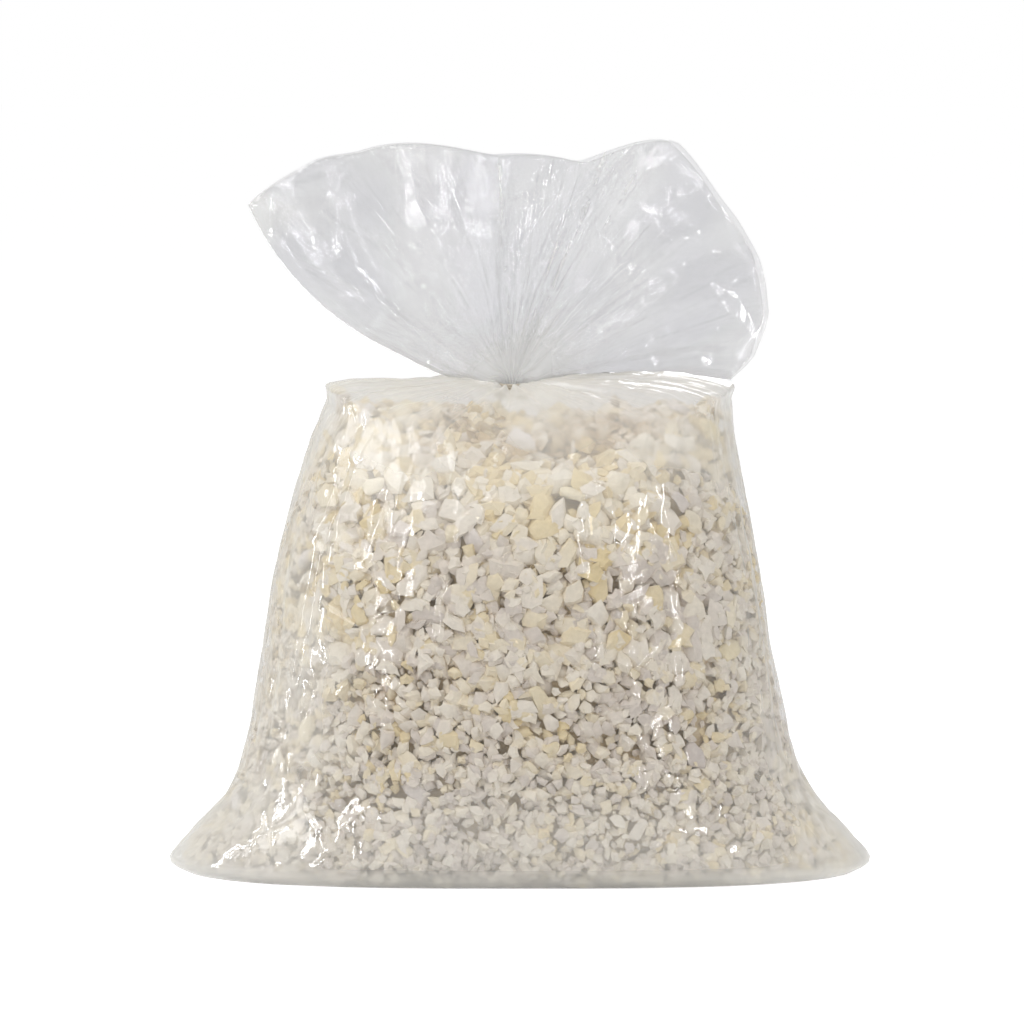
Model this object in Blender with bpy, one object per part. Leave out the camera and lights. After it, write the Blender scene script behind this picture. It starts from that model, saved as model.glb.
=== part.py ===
"""Clear film bag of shredded foam, gathered at the neck and closed with a rubber band.

The bag is a flat tube of thin film, sealed across its lower end and filled with torn foam
crumb. It stands on its filled base, so the two ends of the seal stick out as ears. The film
is gathered in pleats under the band, and above it the loose mouth spreads like a fan.

Units are metres, with +Z up and the camera side at -Y. The origin is the middle of the base.
"""

import math
import random
from typing import NamedTuple

import bmesh
import bpy
import numpy as np
from mathutils import Matrix, Vector, noise
from mathutils.bvhtree import BVHTree

# Film
FILM_THICKNESS = 0.00015
PLEATS = 24
SKIN_WAVE = 0.0022
SKIN_WAVE_LENGTH = 0.085

# Body, from the base up: widths are across X, depths across Y
EAR_SPAN = 0.458
EAR_TIP_HEIGHT = 0.006
EAR_HEEL = 0.010
EAR_TOP_WIDTH = 0.376
EAR_TOP_HEIGHT = 0.062
BASE_DEPTH = 0.216
BASE_HEEL = 0.008
HEEL_HEIGHT = 0.010
BELLY_WIDTH = 0.341
BELLY_DEPTH = 0.238
BELLY_HEIGHT = 0.128
BELLY_SHIFT = -0.002
CHEST_WIDTH = 0.319
CHEST_DEPTH = 0.228
CHEST_HEIGHT = 0.205
SHOULDER_WIDTH = 0.282
SHOULDER_DEPTH = 0.206
SHOULDER_HEIGHT = 0.276
FRONT_SLOPE = 0.034
CROWN_WIDTH = 0.252
CROWN_DEPTH = 0.134
CROWN_HEIGHT = 0.318
TOP_SHIFT = 0.006

# Neck, where the film is gathered
NECK_X = -0.0045
NECK_HEIGHT = 0.308
NECK_DIAMETER = 0.014
NECK_LENGTH = 0.008
PLEAT_DEPTH = 0.0018
LIP_WIDTH = 0.100
LIP_DEPTH = 0.068
LIP_HEIGHT = 0.3135
LIP_PLEAT = 0.0042
PLEAT_RUN_OUT = 2.6
NECK_FLARE = 1.3
THROAT_WIDTH = 0.034

# Mouth above the neck: how far the rim is from the neck, by its angle from upright
MOUTH_TILT = 8.0
MOUTH_OPENING = 0.034
MOUTH_PLEAT = 0.0048
MOUTH_WAVE = 0.007
MOUTH_WAVES = 1.7
MOUTH_WAVE_START = 0.6
LEFT_FOLD_START = -80.0
RIGHT_FOLD_START = 80.0
FOLD_CURVE = 1.5
RIM = (
    (-56.0, 0.207),
    (-42.0, 0.193),
    (-33.0, 0.179),
    (-5.0, 0.148),
    (17.0, 0.149),
    (34.0, 0.1885),
    (50.0, 0.180),
    (62.0, 0.181),
    (73.0, 0.1735),
    (82.0, 0.159),
    (88.0, 0.142),
)

# Rubber band, wound round the neck
BAND_TURNS = 3
BAND_THICKNESS = 0.0017
BAND_GAP = 0.0003

# Foam: the heap, and the larger shreds that lie loose on it against the film
FILL_GAP = 0.0003
FILL_EASE = 0.0012
CLUMP_SIZE = 0.031
CREVICE_DEPTH = 0.0075
CREVICE_SHARE = 0.34
FILL_ROUGHNESS = 0.0012
HEAP_FOOT = 0.004
FILL_SLACK = 0.011
EAR_SLACK = 0.018
SHREDS = 52
SHRED_LENGTH = 0.023
SHRED_WIDTH = 0.016
SHRED_THICKNESS = 0.009
NEST_MARGIN = 0.008
SHRED_CORNERS = 13
SHRED_TILT = 24.0
LOWEST_SHRED_STATION = 2.4
FIRST_SHRED_ANGLE = -1.3
SEAT_GAP = 0.0003
SHRED_COLOURS = (
    ("cream_foam", (0.78, 0.72, 0.60)),
    ("yellow_foam", (0.80, 0.72, 0.47)),
    ("grey_foam", (0.60, 0.57, 0.55)),
)

# How finely the shapes are cut into facets
FILM_COLUMNS = 2 * PLEATS
RINGS_PER_STATION = 2
MOUTH_RINGS = 9
HEAP_COLUMNS = 66
HEAP_ROWS = 30
HEAP_JITTER = 0.5
BAND_SEGMENTS = 28
BAND_ARC_POINTS = 5
SEED = 7
GOLDEN_ANGLE = math.pi * (3 - math.sqrt(5))


class Station(NamedTuple):
    """One control ring of the body. It is higher at its sides than at its front and back.

    The side and front powers are 2 on an ellipse. A high side power with a low front power
    makes the ring an eye with two sharp corners, as at the seal.
    """

    half_width: float
    side_height: float
    half_depth: float
    front_height: float
    side_power: float = 2.3
    front_power: float = 2.15
    shift: float = 0.0


def body_stations():
    """The control rings from the edge of the flat base to the top of the gathered neck."""
    ear = EAR_SPAN / 2
    half_base = BASE_DEPTH / 2
    neck = NECK_DIAMETER / 2
    flare = NECK_FLARE * neck
    low_ear_height = (2 * EAR_TIP_HEIGHT + EAR_TOP_HEIGHT) / 3
    round_over = (SHOULDER_HEIGHT + 2 * CROWN_HEIGHT) / 3
    front_round_over = (SHOULDER_HEIGHT + CROWN_HEIGHT) / 2 - FRONT_SLOPE * 0.8
    neck_corner = NECK_HEIGHT + NECK_LENGTH / 4
    neck_top = NECK_HEIGHT + NECK_LENGTH
    return (
        Station(ear - EAR_HEEL, 0.0, half_base - BASE_HEEL, 0.0, 3.0, 2.4),
        Station(ear, EAR_TIP_HEIGHT, half_base, HEEL_HEIGHT, 3.0, 1.9),
        Station(
            (2 * ear + EAR_TOP_WIDTH / 2) / 3,
            low_ear_height,
            (half_base + BELLY_DEPTH / 2) / 2,
            low_ear_height,
            2.9,
            1.9,
        ),
        Station(EAR_TOP_WIDTH / 2, EAR_TOP_HEIGHT, BELLY_DEPTH / 2, EAR_TOP_HEIGHT, 2.5, 1.85),
        Station(
            BELLY_WIDTH / 2,
            BELLY_HEIGHT,
            BELLY_DEPTH / 2,
            BELLY_HEIGHT,
            2.4,
            2.05,
            BELLY_SHIFT,
        ),
        Station(CHEST_WIDTH / 2, CHEST_HEIGHT, CHEST_DEPTH / 2, CHEST_HEIGHT, shift=BELLY_SHIFT),
        Station(
            SHOULDER_WIDTH / 2,
            SHOULDER_HEIGHT,
            SHOULDER_DEPTH / 2,
            SHOULDER_HEIGHT - FRONT_SLOPE,
            shift=TOP_SHIFT / 3,
        ),
        Station(
            (SHOULDER_WIDTH + CROWN_WIDTH) / 4,
            round_over,
            (SHOULDER_DEPTH + CROWN_DEPTH) / 4,
            front_round_over,
            shift=TOP_SHIFT,
        ),
        Station(
            CROWN_WIDTH / 2,
            CROWN_HEIGHT,
            CROWN_DEPTH / 2,
            CROWN_HEIGHT - FRONT_SLOPE * 0.75,
            shift=TOP_SHIFT,
        ),
        Station(LIP_WIDTH / 2, CROWN_HEIGHT, LIP_DEPTH / 2, LIP_HEIGHT - FRONT_SLOPE * 0.15, 2.2, 2.1),
        Station(THROAT_WIDTH / 2, LIP_HEIGHT, THROAT_WIDTH / 2, LIP_HEIGHT, 2.0, 2.0, NECK_X),
        Station(flare, NECK_HEIGHT, flare, NECK_HEIGHT, 2.0, 2.0, NECK_X),
        Station(neck, neck_corner, neck, neck_corner, 2.0, 2.0, NECK_X),
        Station(neck, neck_top, neck, neck_top, 2.0, 2.0, NECK_X),
    )


STATIONS = body_stations()
LAST_STATION = len(STATIONS) - 1
NECK_STATION = LAST_STATION - 1
LIP_STATION = LAST_STATION - 4
SHOULDER_STATION = 6
HIGHEST_SHRED_STATION = LIP_STATION - 0.7
HEAP_TOP_STATION = LIP_STATION - 0.4


def ease(x):
    """Smooth step from 0 to 1."""
    x = min(max(x, 0.0), 1.0)
    return x * x * (3 - 2 * x)


def through(points, t):
    """The value at t of a smooth curve through evenly spaced points, with no overshoot at its ends."""
    i = min(int(t), len(points) - 2)
    f = t - i
    p1 = np.asarray(points[i], float)
    p2 = np.asarray(points[i + 1], float)
    p0 = np.asarray(points[i - 1], float) if i > 0 else p1
    p3 = np.asarray(points[i + 2], float) if i + 2 < len(points) else p2
    slope_1 = (p2 - p0) / 2
    slope_2 = (p3 - p1) / 2
    return (
        p1 * (1 + 2 * f) * (1 - f) ** 2
        + slope_1 * f * (1 - f) ** 2
        + p2 * f * f * (3 - 2 * f)
        - slope_2 * f * f * (1 - f)
    )


def signed_power(value, power):
    return math.copysign(abs(value) ** power, value)


def body_point(t, angle, inset=0.0, side_inset=0.0):
    """A point of the body's skin at station t, moved in from the skin by an inset."""
    station = Station(*through(STATIONS, t))
    flat_top = ease((t - SHOULDER_STATION) / 2)
    half_width = station.half_width - inset - side_inset
    half_depth = station.half_depth - inset
    x = half_width * signed_power(math.cos(angle), 2 / station.side_power)
    y = half_depth * signed_power(math.sin(angle), 2 / station.front_power)
    share = math.cos(angle) ** 2
    z = station.side_height * share + station.front_height * (1 - share)
    return Vector((x + station.shift, y, z - inset * flat_top))


def skin_wave(point, t):
    """How far the skin is dented in by its slack, none at the base or the neck."""
    fade = ease((t - 1) / 2) * ease((LIP_STATION - t) / 3)
    return fade * SKIN_WAVE * (1 + noise.noise(point / SKIN_WAVE_LENGTH))


def pleat_sizes():
    """A size for each pleat about 1, the same each time, so that the gathers aren't all alike."""
    dice = random.Random(SEED)
    return [dice.uniform(0.55, 1.45) for _ in range(PLEATS)]


def body_normal(t, angle):
    """The outward direction of the smooth skin at a point."""
    step = 0.02
    low = max(t - step, 0.0)
    high = min(t + step, LAST_STATION)
    along = body_point(high, angle) - body_point(low, angle)
    round_it = body_point(t, angle + step) - body_point(t, angle - step)
    return round_it.cross(along).normalized()


def film_body_ring(t, sizes):
    """One ring of the film up to the top of the neck, with the pleats that run out from the neck."""
    points = []
    for column in range(FILM_COLUMNS):
        angle = 2 * math.pi * column / FILM_COLUMNS
        point = body_point(t, angle)
        size = sizes[column // 2]
        out_of_neck = max(NECK_STATION - t, 0.0)
        fade = math.exp(-((out_of_neck / (PLEAT_RUN_OUT * size)) ** 2))
        depth = PLEAT_DEPTH + (LIP_PLEAT * size - PLEAT_DEPTH) * ease(out_of_neck / 2)
        depth *= fade * (column % 2)
        points.append(point - body_normal(t, angle) * (depth + skin_wave(point, t)))
    return points


def rim_at(across):
    """The angle and reach of the rim, from its left fold at 0 to its right fold at 1."""
    angle = RIM[0][0] + (RIM[-1][0] - RIM[0][0]) * across
    reach = RIM[-1][1]
    for (angle_1, reach_1), (angle_2, reach_2) in zip(RIM, RIM[1:]):
        if angle <= angle_2:
            reach = reach_1 + (reach_2 - reach_1) * ease((angle - angle_1) / (angle_2 - angle_1))
            break
    return angle, reach


def mouth_ring(up, sizes):
    """A ring of the loose mouth, from the neck at 0 to the rim at 1: a flat tube fanned out."""
    top = NECK_HEIGHT + NECK_LENGTH
    tilt = Matrix.Rotation(math.radians(MOUTH_TILT) * ease(3 * up), 3, "Z")
    neck = NECK_DIAMETER / 2
    half_opening = MOUTH_OPENING / 2
    points = []
    for column in range(FILM_COLUMNS):
        turn = 2 * math.pi * column / FILM_COLUMNS
        across = (1 + math.cos(turn)) / 2
        rim_angle, reach = rim_at(across)
        start_angle = LEFT_FOLD_START + (RIGHT_FOLD_START - LEFT_FOLD_START) * across
        leaving = 0.35 + 0.65 * ease(12 * up)
        angle = leaving * math.radians(start_angle + (rim_angle - start_angle) * up**FOLD_CURVE)
        distance = reach * up
        neck_fold = PLEAT_DEPTH / neck
        rim_fold = MOUTH_PLEAT * sizes[column // 2] / half_opening
        fold = neck_fold + (rim_fold - neck_fold) * ease(3 * up)
        gathered = 1 - fold * (column % 2)
        round_neck = neck * (1 - up) ** 2
        layer = math.sin(turn) * (round_neck + half_opening * ease(1.3 * up)) * gathered
        wave = MOUTH_WAVE * ease(up) * math.sin(2 * math.pi * MOUTH_WAVES * across + MOUTH_WAVE_START)
        gathered_sideways = 1 - fold * (column % 2) * (1 - up) ** 12
        sideways = round_neck * gathered_sideways * math.cos(turn) + distance * math.sin(angle)
        spread = Vector((sideways, layer + wave, 0.0))
        spread.rotate(tilt)
        points.append(Vector((NECK_X, 0.0, top + distance * math.cos(angle))) + spread)
    return points


def film_rings():
    """All the rings of the film, from the edge of the base to the rim of the mouth."""
    sizes = pleat_sizes()
    steps = LAST_STATION * RINGS_PER_STATION
    rings = [film_body_ring(step / RINGS_PER_STATION, sizes) for step in range(steps + 1)]
    for step in range(1, MOUTH_RINGS + 1):
        rings.append(mouth_ring((step / MOUTH_RINGS) ** 1.9, sizes))
    return rings


def loft(bm, rings, caps):
    """Skins the rings with triangles, and closes the ends that caps gives a middle point for."""
    rows = [[bm.verts.new(point) for point in ring] for ring in rings]
    count = len(rows[0])
    for low, high in zip(rows, rows[1:]):
        for i in range(count):
            j = (i + 1) % count
            if i % 2:
                bm.faces.new((low[i], low[j], high[i]))
                bm.faces.new((low[j], high[j], high[i]))
            else:
                bm.faces.new((low[i], low[j], high[j]))
                bm.faces.new((low[i], high[j], high[i]))
    for row, middle, turned in zip((rows[0], rows[-1]), caps, (True, False)):
        if middle is None:
            continue
        centre = bm.verts.new(middle)
        for i in range(count):
            pair = (row[i], row[(i + 1) % count])
            bm.faces.new((*(reversed(pair) if turned else pair), centre))
    return rows


def material(name, colour, roughness, alpha=1.0):
    """A plain Principled material of the sub-part's own colour."""
    made = bpy.data.materials.new(name)
    made.use_nodes = True
    shader = made.node_tree.nodes["Principled BSDF"]
    shader.inputs["Base Color"].default_value = (*colour, 1.0)
    shader.inputs["Roughness"].default_value = roughness
    shader.inputs["Metallic"].default_value = 0.0
    shader.inputs["Alpha"].default_value = alpha
    return made


def add_object(name, bm, finish, smooth_angle=None):
    """Turns a bmesh into a named object of the scene."""
    mesh = bpy.data.meshes.new(name)
    bm.to_mesh(mesh)
    bm.free()
    if finish is not None:
        mesh.materials.append(finish)
    if smooth_angle is not None:
        mesh.shade_smooth()
        mesh.set_sharp_from_angle(angle=math.radians(smooth_angle))
    made = bpy.data.objects.new(name, mesh)
    bpy.context.collection.objects.link(made)
    return made


def make_film_bag():
    """The film: one sheet from the base to the rim, given its thickness inwards."""
    bm = bmesh.new()
    loft(bm, film_rings(), ((0.0, 0.0, 0.0), None))
    bm.normal_update()
    skin = BVHTree.FromBMesh(bm)
    bag = add_object("film_bag", bm, material("clear_film", (0.80, 0.81, 0.82), 0.15, 0.3), 50)
    wall = bag.modifiers.new("wall", "SOLIDIFY")
    wall.thickness = FILM_THICKNESS
    wall.offset = -1.0
    wall.use_even_offset = True
    return skin


def make_neck_band():
    """The band: its turns lie side by side round the neck, as one piece."""
    bm = bmesh.new()
    radius = BAND_THICKNESS / 2
    inner = NECK_DIAMETER / 2 + BAND_GAP
    middle = inner + radius
    bottom = NECK_HEIGHT + NECK_LENGTH * 5 / 8 - BAND_TURNS * radius
    profile = [Vector((NECK_X + inner, 0.0, bottom))]
    for turn in range(BAND_TURNS):
        centre = bottom + radius * (2 * turn + 1)
        for step in range(BAND_ARC_POINTS):
            angle = math.pi * ((step + 0.5) / BAND_ARC_POINTS - 0.5)
            across = middle + radius * math.cos(angle)
            profile.append(Vector((NECK_X + across, 0.0, centre + radius * math.sin(angle))))
    profile.append(Vector((NECK_X + inner, 0.0, bottom + 2 * radius * BAND_TURNS)))
    verts = [bm.verts.new(point) for point in profile]
    edges = [bm.edges.new(pair) for pair in zip(verts, verts[1:] + verts[:1])]
    bmesh.ops.spin(
        bm,
        geom=verts + edges,
        cent=(NECK_X, 0.0, 0.0),
        axis=(0.0, 0.0, 1.0),
        angle=2 * math.pi,
        steps=BAND_SEGMENTS,
        use_merge=True,
    )
    bmesh.ops.recalc_face_normals(bm, faces=bm.faces)
    add_object("neck_band", bm, material("natural_rubber", (0.62, 0.50, 0.30), 0.6), 60)


def shred_form(dice):
    """A torn bit of foam: the hull of points spread over a squashed ball."""
    bm = bmesh.new()
    scale = dice.uniform(0.8, 1.1)
    half = Vector((SHRED_LENGTH, SHRED_WIDTH, SHRED_THICKNESS)) * scale / 2
    for corner in range(SHRED_CORNERS):
        height = 1 - (2 * corner + 1) / SHRED_CORNERS
        turn = corner * GOLDEN_ANGLE + dice.uniform(-0.4, 0.4)
        flat = math.sqrt(1 - height * height)
        spot = Vector((flat * math.cos(turn), flat * math.sin(turn), height))
        spot = Vector([signed_power(part, 0.75) for part in spot]) * dice.uniform(0.82, 1.0)
        bm.verts.new([part * size for part, size in zip(spot, half)])
    hull = bmesh.ops.convex_hull(bm, input=bm.verts)
    bmesh.ops.delete(bm, geom=hull["geom_interior"], context="VERTS")
    bmesh.ops.recalc_face_normals(bm, faces=bm.faces)
    return bm


def shred_spots():
    """Where the loose shreds lie: a spiral over the body that keeps them apart."""
    spots = []
    for index in range(SHREDS):
        share = (index + 0.5) / SHREDS
        t = LOWEST_SHRED_STATION + (HIGHEST_SHRED_STATION - LOWEST_SHRED_STATION) * share
        spots.append((t, index * GOLDEN_ANGLE + FIRST_SHRED_ANGLE))
    return spots


def film_clearance(bm, place, skin):
    """The least distance from a shred's corners to the film's sheet, negative outside of it."""
    least = math.inf
    for vert in bm.verts:
        corner = place @ vert.co
        nearest, normal, _, distance = skin.find_nearest(corner)
        least = min(least, math.copysign(distance, (nearest - corner).dot(normal)))
    return least


def settle_shred(bm, t, angle, dice, skin):
    """Where a shred lies flat against the film: its place, the film's normal there, and its depth."""
    middle = STATIONS[SHOULDER_STATION].shift
    toward = body_point(t, angle)
    start = Vector((middle, 0.0, toward.z - ease((t - SHOULDER_STATION) / 2) * CROWN_WIDTH / 4))
    surface, normal, _, _ = skin.ray_cast(start, (toward - start).normalized())
    turned = normal.to_track_quat("Z", "Y").to_matrix().to_4x4()
    turned @= Matrix.Rotation(dice.uniform(0, 2 * math.pi), 4, "Z")
    turned @= Matrix.Rotation(math.radians(dice.uniform(-SHRED_TILT, SHRED_TILT)), 4, "X")
    wanted = FILM_THICKNESS + FILL_GAP + FILL_EASE / 2
    depth = SHRED_THICKNESS
    for _ in range(8):
        place = Matrix.Translation(surface - normal * depth) @ turned
        depth += wanted - film_clearance(bm, place, skin)
    return Matrix.Translation(surface - normal * depth) @ turned, surface, normal, depth


def make_shreds(skin):
    """The loose shreds, and a cutter for the hollow that each one lies in."""
    dice = random.Random(SEED + 1)
    foams = [material(name, colour, 0.95) for name, colour in SHRED_COLOURS]
    cutters = bpy.data.collections.new("shred_hollows")
    bpy.context.scene.collection.children.link(cutters)
    settled = []
    for index, (t, angle) in enumerate(shred_spots()):
        bm = shred_form(dice)
        place, surface, normal, depth = settle_shred(bm, t, angle, dice, skin)
        settled.append((surface, normal, depth))
        hollow = bm.copy()
        hollow.normal_update()
        for vert in hollow.verts:
            vert.co += vert.normal * SEAT_GAP * vert.calc_shell_factor()
        foam = foams[index % len(foams)]
        add_object(f"foam_shred_{index + 1:02d}", bm, foam).matrix_world = place
        cutter = add_object(f"hollow_{index + 1:02d}", hollow, None)
        cutter.matrix_world = place
        cutter.hide_render = True
        cutter.display_type = "WIRE"
        bpy.context.collection.objects.unlink(cutter)
        cutters.objects.link(cutter)
    return settled, cutters


def crevice(point):
    """How deep the heap's skin dips at a point: 0 on a clump of shreds, 1 in the crevice beside it."""
    distances, _ = noise.voronoi(point / CLUMP_SIZE)
    return 1 - ease((distances[1] - distances[0]) / CREVICE_SHARE)


def heap_rings(settled):
    """The clumped skin of the heap, sunk under each loose shred."""
    dice = random.Random(SEED + 2)
    nest = SHRED_LENGTH / 2 + NEST_MARGIN
    floor = FILM_THICKNESS + FILL_GAP
    rings = []
    for row in range(HEAP_ROWS + 1):
        t = HEAP_TOP_STATION * row / HEAP_ROWS
        slack = FILL_SLACK * ease((t - SHOULDER_STATION + 1) / 2)
        ears = EAR_SLACK * (1 - ease((t - 1) / 3))
        ring = []
        for column in range(HEAP_COLUMNS):
            jitter = HEAP_JITTER * (dice.random() - 0.5) * (row > 0)
            angle = 2 * math.pi * (column + jitter) / HEAP_COLUMNS
            skin = body_point(t, angle)
            relief = CREVICE_DEPTH * crevice(skin) + FILL_ROUGHNESS * dice.random()
            inset = floor + FILL_EASE + skin_wave(skin, t) + slack + relief * (row > 0)
            point = body_point(t, angle, inset, ears)
            point.z = floor if row == 0 else max(point.z, floor + HEAP_FOOT)
            for surface, normal, depth in settled:
                if (point - surface + normal * depth).length < nest:
                    lift = depth + SHRED_THICKNESS / 6 - (surface - point).dot(normal)
                    point -= normal * max(lift, 0.0)
            ring.append(point)
        rings.append(ring)
    return rings, floor


def make_foam_fill(settled, cutters):
    """The heap of foam crumb, whose shreds cling together as one body."""
    bm = bmesh.new()
    rings, floor = heap_rings(settled)
    peak = sum((point.z for point in rings[-1])) / HEAP_COLUMNS
    loft(bm, rings, ((0.0, 0.0, floor), (TOP_SHIFT, 0.0, peak)))
    fill = add_object("foam_fill", bm, material("foam_heap", (0.76, 0.70, 0.58), 0.95))
    hollows = fill.modifiers.new("shred_hollows", "BOOLEAN")
    hollows.operation = "DIFFERENCE"
    hollows.operand_type = "COLLECTION"
    hollows.collection = cutters
    hollows.solver = "EXACT"


def main():
    for old in list(bpy.data.objects):
        bpy.data.objects.remove(old)
    skin = make_film_bag()
    make_neck_band()
    settled, cutters = make_shreds(skin)
    make_foam_fill(settled, cutters)


main()
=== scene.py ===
"""Looks for a clear film bag of shredded foam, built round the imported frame.

Each sub-assembly is a class that holds its sizes and builds and dresses its own meshes. The
film repeats the form of the frame's solid as a fine sheet with its folds and creases. The foam
is some thousands of torn shreds, laid by Geometry Nodes and pressed flat against the film.
Units are metres, with +Z up and the camera side at -Y.
"""

import logging
import math
import random
from dataclasses import dataclass
from enum import Enum
from typing import NamedTuple

import bmesh
import bpy
import numpy as np
from mathutils import Matrix, Vector, noise
from mathutils.bvhtree import BVHTree


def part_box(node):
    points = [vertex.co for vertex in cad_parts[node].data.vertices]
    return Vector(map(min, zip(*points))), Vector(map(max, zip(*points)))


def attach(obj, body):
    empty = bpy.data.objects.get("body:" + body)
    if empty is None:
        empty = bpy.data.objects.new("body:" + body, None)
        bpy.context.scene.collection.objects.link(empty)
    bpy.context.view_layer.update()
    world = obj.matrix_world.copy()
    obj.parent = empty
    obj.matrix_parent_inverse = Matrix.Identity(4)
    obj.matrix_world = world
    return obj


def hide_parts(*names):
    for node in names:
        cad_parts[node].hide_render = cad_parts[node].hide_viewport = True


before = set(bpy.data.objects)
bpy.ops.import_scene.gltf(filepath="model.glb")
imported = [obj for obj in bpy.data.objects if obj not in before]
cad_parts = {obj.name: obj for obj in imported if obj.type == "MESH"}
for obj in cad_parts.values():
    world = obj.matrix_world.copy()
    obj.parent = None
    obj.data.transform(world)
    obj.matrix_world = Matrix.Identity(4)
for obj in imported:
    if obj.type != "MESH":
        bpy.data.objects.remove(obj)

Array = np.ndarray
Tree = bpy.types.NodeTree
Socket = bpy.types.NodeSocket
MM = 0.001
FULL_TURN = 2 * math.pi
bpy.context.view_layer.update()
log = logging.getLogger("foam_bag")


class Foam(Enum):
    """The foams that were torn up together, by their material slots."""

    CREAM = "cream_foam"
    YELLOW = "yellow_foam"
    GREY = "grey_foam"


def srgb(text: str) -> tuple[float, float, float, float]:
    """Turns an sRGB hex colour to linear.

    Args:
        text: The colour, such as "#EBE4D5".

    Returns:
        Linear red, green and blue, with an alpha of 1.
    """
    parts = [int(text[i : i + 2], 16) / 255 for i in (1, 3, 5)]
    linear = [p / 12.92 if p <= 0.04045 else ((p + 0.055) / 1.055) ** 2.4 for p in parts]
    return (*linear, 1.0)


def add_node(tree: Tree, kind: str, inputs: dict | None = None, **settings) -> bpy.types.Node:
    """Adds a node with its settings and its inputs.

    Args:
        tree: The tree that gets the node.
        kind: The node's type name.
        inputs: Values by socket name or number. An output socket is linked, and anything else is set.
        settings: Properties of the node itself.

    Returns:
        The new node.
    """
    node = tree.nodes.new(kind)
    for name, value in settings.items():
        setattr(node, name, value)
    for key, value in (inputs or {}).items():
        if isinstance(value, bpy.types.NodeSocket):
            tree.links.new(value, node.inputs[key])
        else:
            node.inputs[key].default_value = value
    return node


def new_material(name: str) -> tuple[bpy.types.Material, Tree, Socket]:
    """Makes an empty node material.

    Args:
        name: The material's name.

    Returns:
        The material, its tree and the surface input of its output node.
    """
    made = bpy.data.materials.new(name)
    made.use_nodes = True
    made.node_tree.nodes.clear()
    output = add_node(made.node_tree, "ShaderNodeOutputMaterial")
    return made, made.node_tree, output.inputs["Surface"]


def maths(tree: Tree, operation: str, *values: Socket | float, clamp: bool = False) -> Socket:
    """Adds a maths node on two or three values, and gives its result.

    Args:
        tree: The node tree.
        operation: The node's operation.
        values: Two or three numbers or sockets.
        clamp: Whether the result is held from 0 to 1.

    Returns:
        The result's socket.
    """
    return add_node(
        tree, "ShaderNodeMath", dict(enumerate(values)), operation=operation, use_clamp=clamp
    ).outputs[0]


def ranged(
    tree: Tree,
    value: Socket,
    low: float,
    high: float,
    to_low: float = 0.0,
    to_high: Socket | float = 1.0,
    kind: str = "LINEAR",
) -> Socket:
    """Maps a value from low to high onto the range from to_low to to_high."""
    inputs = {"Value": value, "From Min": low, "From Max": high, "To Min": to_low, "To Max": to_high}
    return add_node(tree, "ShaderNodeMapRange", inputs, interpolation_type=kind).outputs["Result"]


def noise_of(tree: Tree, place: Socket, size: float, detail: float, roughness: float = 0.5) -> Socket:
    """Noise whose bumps are about size long, in the units of place."""
    inputs = {"Vector": place, "Scale": 1 / size, "Detail": detail, "Roughness": roughness}
    return add_node(tree, "ShaderNodeTexNoise", inputs).outputs["Fac"]


def bumped(
    tree: Tree, height: Socket, height_mm: float, strength: float, under: Socket | None = None
) -> Socket:
    """A normal bent by a height pattern that stands height_mm high, over another normal if one is given.

    Args:
        tree: The node tree.
        height: The pattern.
        height_mm: How high it stands, in millimetres.
        strength: The share of it that shows.
        under: The normal beneath it.

    Returns:
        The bent normal.
    """
    inputs = {"Height": height, "Distance": height_mm * MM, "Strength": strength}
    if under is not None:
        inputs["Normal"] = under
    return add_node(tree, "ShaderNodeBump", inputs).outputs["Normal"]


def attribute(tree: Tree, name: str, output: str = "Fac") -> Socket:
    """Reads one of the mesh's own attributes."""
    return add_node(tree, "ShaderNodeAttribute", attribute_name=name).outputs[output]


def object_place(tree: Tree) -> Socket:
    """The place on the object, in metres."""
    return add_node(tree, "ShaderNodeTexCoord").outputs["Object"]


def shader_of(tree: Tree, kind: str, inputs: dict) -> Socket:
    """Adds a surface shader by the name of its kind, such as Diffuse."""
    return add_node(tree, f"ShaderNodeBsdf{kind}", inputs).outputs[0]


def mixed(tree: Tree, share: Socket | float, first: Socket, second: Socket) -> Socket:
    """Mixes two shaders by the share of the second."""
    return add_node(tree, "ShaderNodeMixShader", {0: share, 1: first, 2: second}).outputs[0]


def blended(tree: Tree, share: Socket, first: Socket | tuple, second: Socket | tuple) -> Socket:
    """Mixes two colours by the share of the second."""
    inputs = {"Factor": share, 6: first, 7: second}
    return add_node(tree, "ShaderNodeMix", inputs, data_type="RGBA").outputs[2]


def shade_ramp(tree: Tree, share: Socket, shades: tuple[str, ...]) -> Socket:
    """Spreads hex colours evenly from 0 to 1 and picks by the share.

    Args:
        tree: The node tree.
        share: Where to pick.
        shades: The hex colours.

    Returns:
        The colour's socket.
    """
    ramp = add_node(tree, "ShaderNodeValToRGB", {"Fac": share})
    stops = ramp.color_ramp.elements
    while len(stops) < len(shades):
        stops.new(0.5)
    for index, colour in enumerate(shades):
        stops[index].position = index / max(len(shades) - 1, 1)
        stops[index].color = srgb(colour)
    return ramp.outputs["Color"]


def plain_surface(
    tree: Tree, surface: Socket, colour: Socket, normal: Socket, roughness: float, specular: float = 0.5
) -> None:
    """Ends a material in an opaque surface."""
    inputs = {"Base Color": colour, "Roughness": roughness, "Specular IOR Level": specular, "Normal": normal}
    tree.links.new(shader_of(tree, "Principled", inputs), surface)


def add_object(name: str, data: bpy.types.ID) -> bpy.types.Object:
    """Makes an object at the origin and links it to the scene.

    Args:
        name: The object's name.
        data: Its mesh, lamp or camera.

    Returns:
        The object.
    """
    made = bpy.data.objects.new(name, data)
    bpy.context.scene.collection.objects.link(made)
    return made


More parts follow.
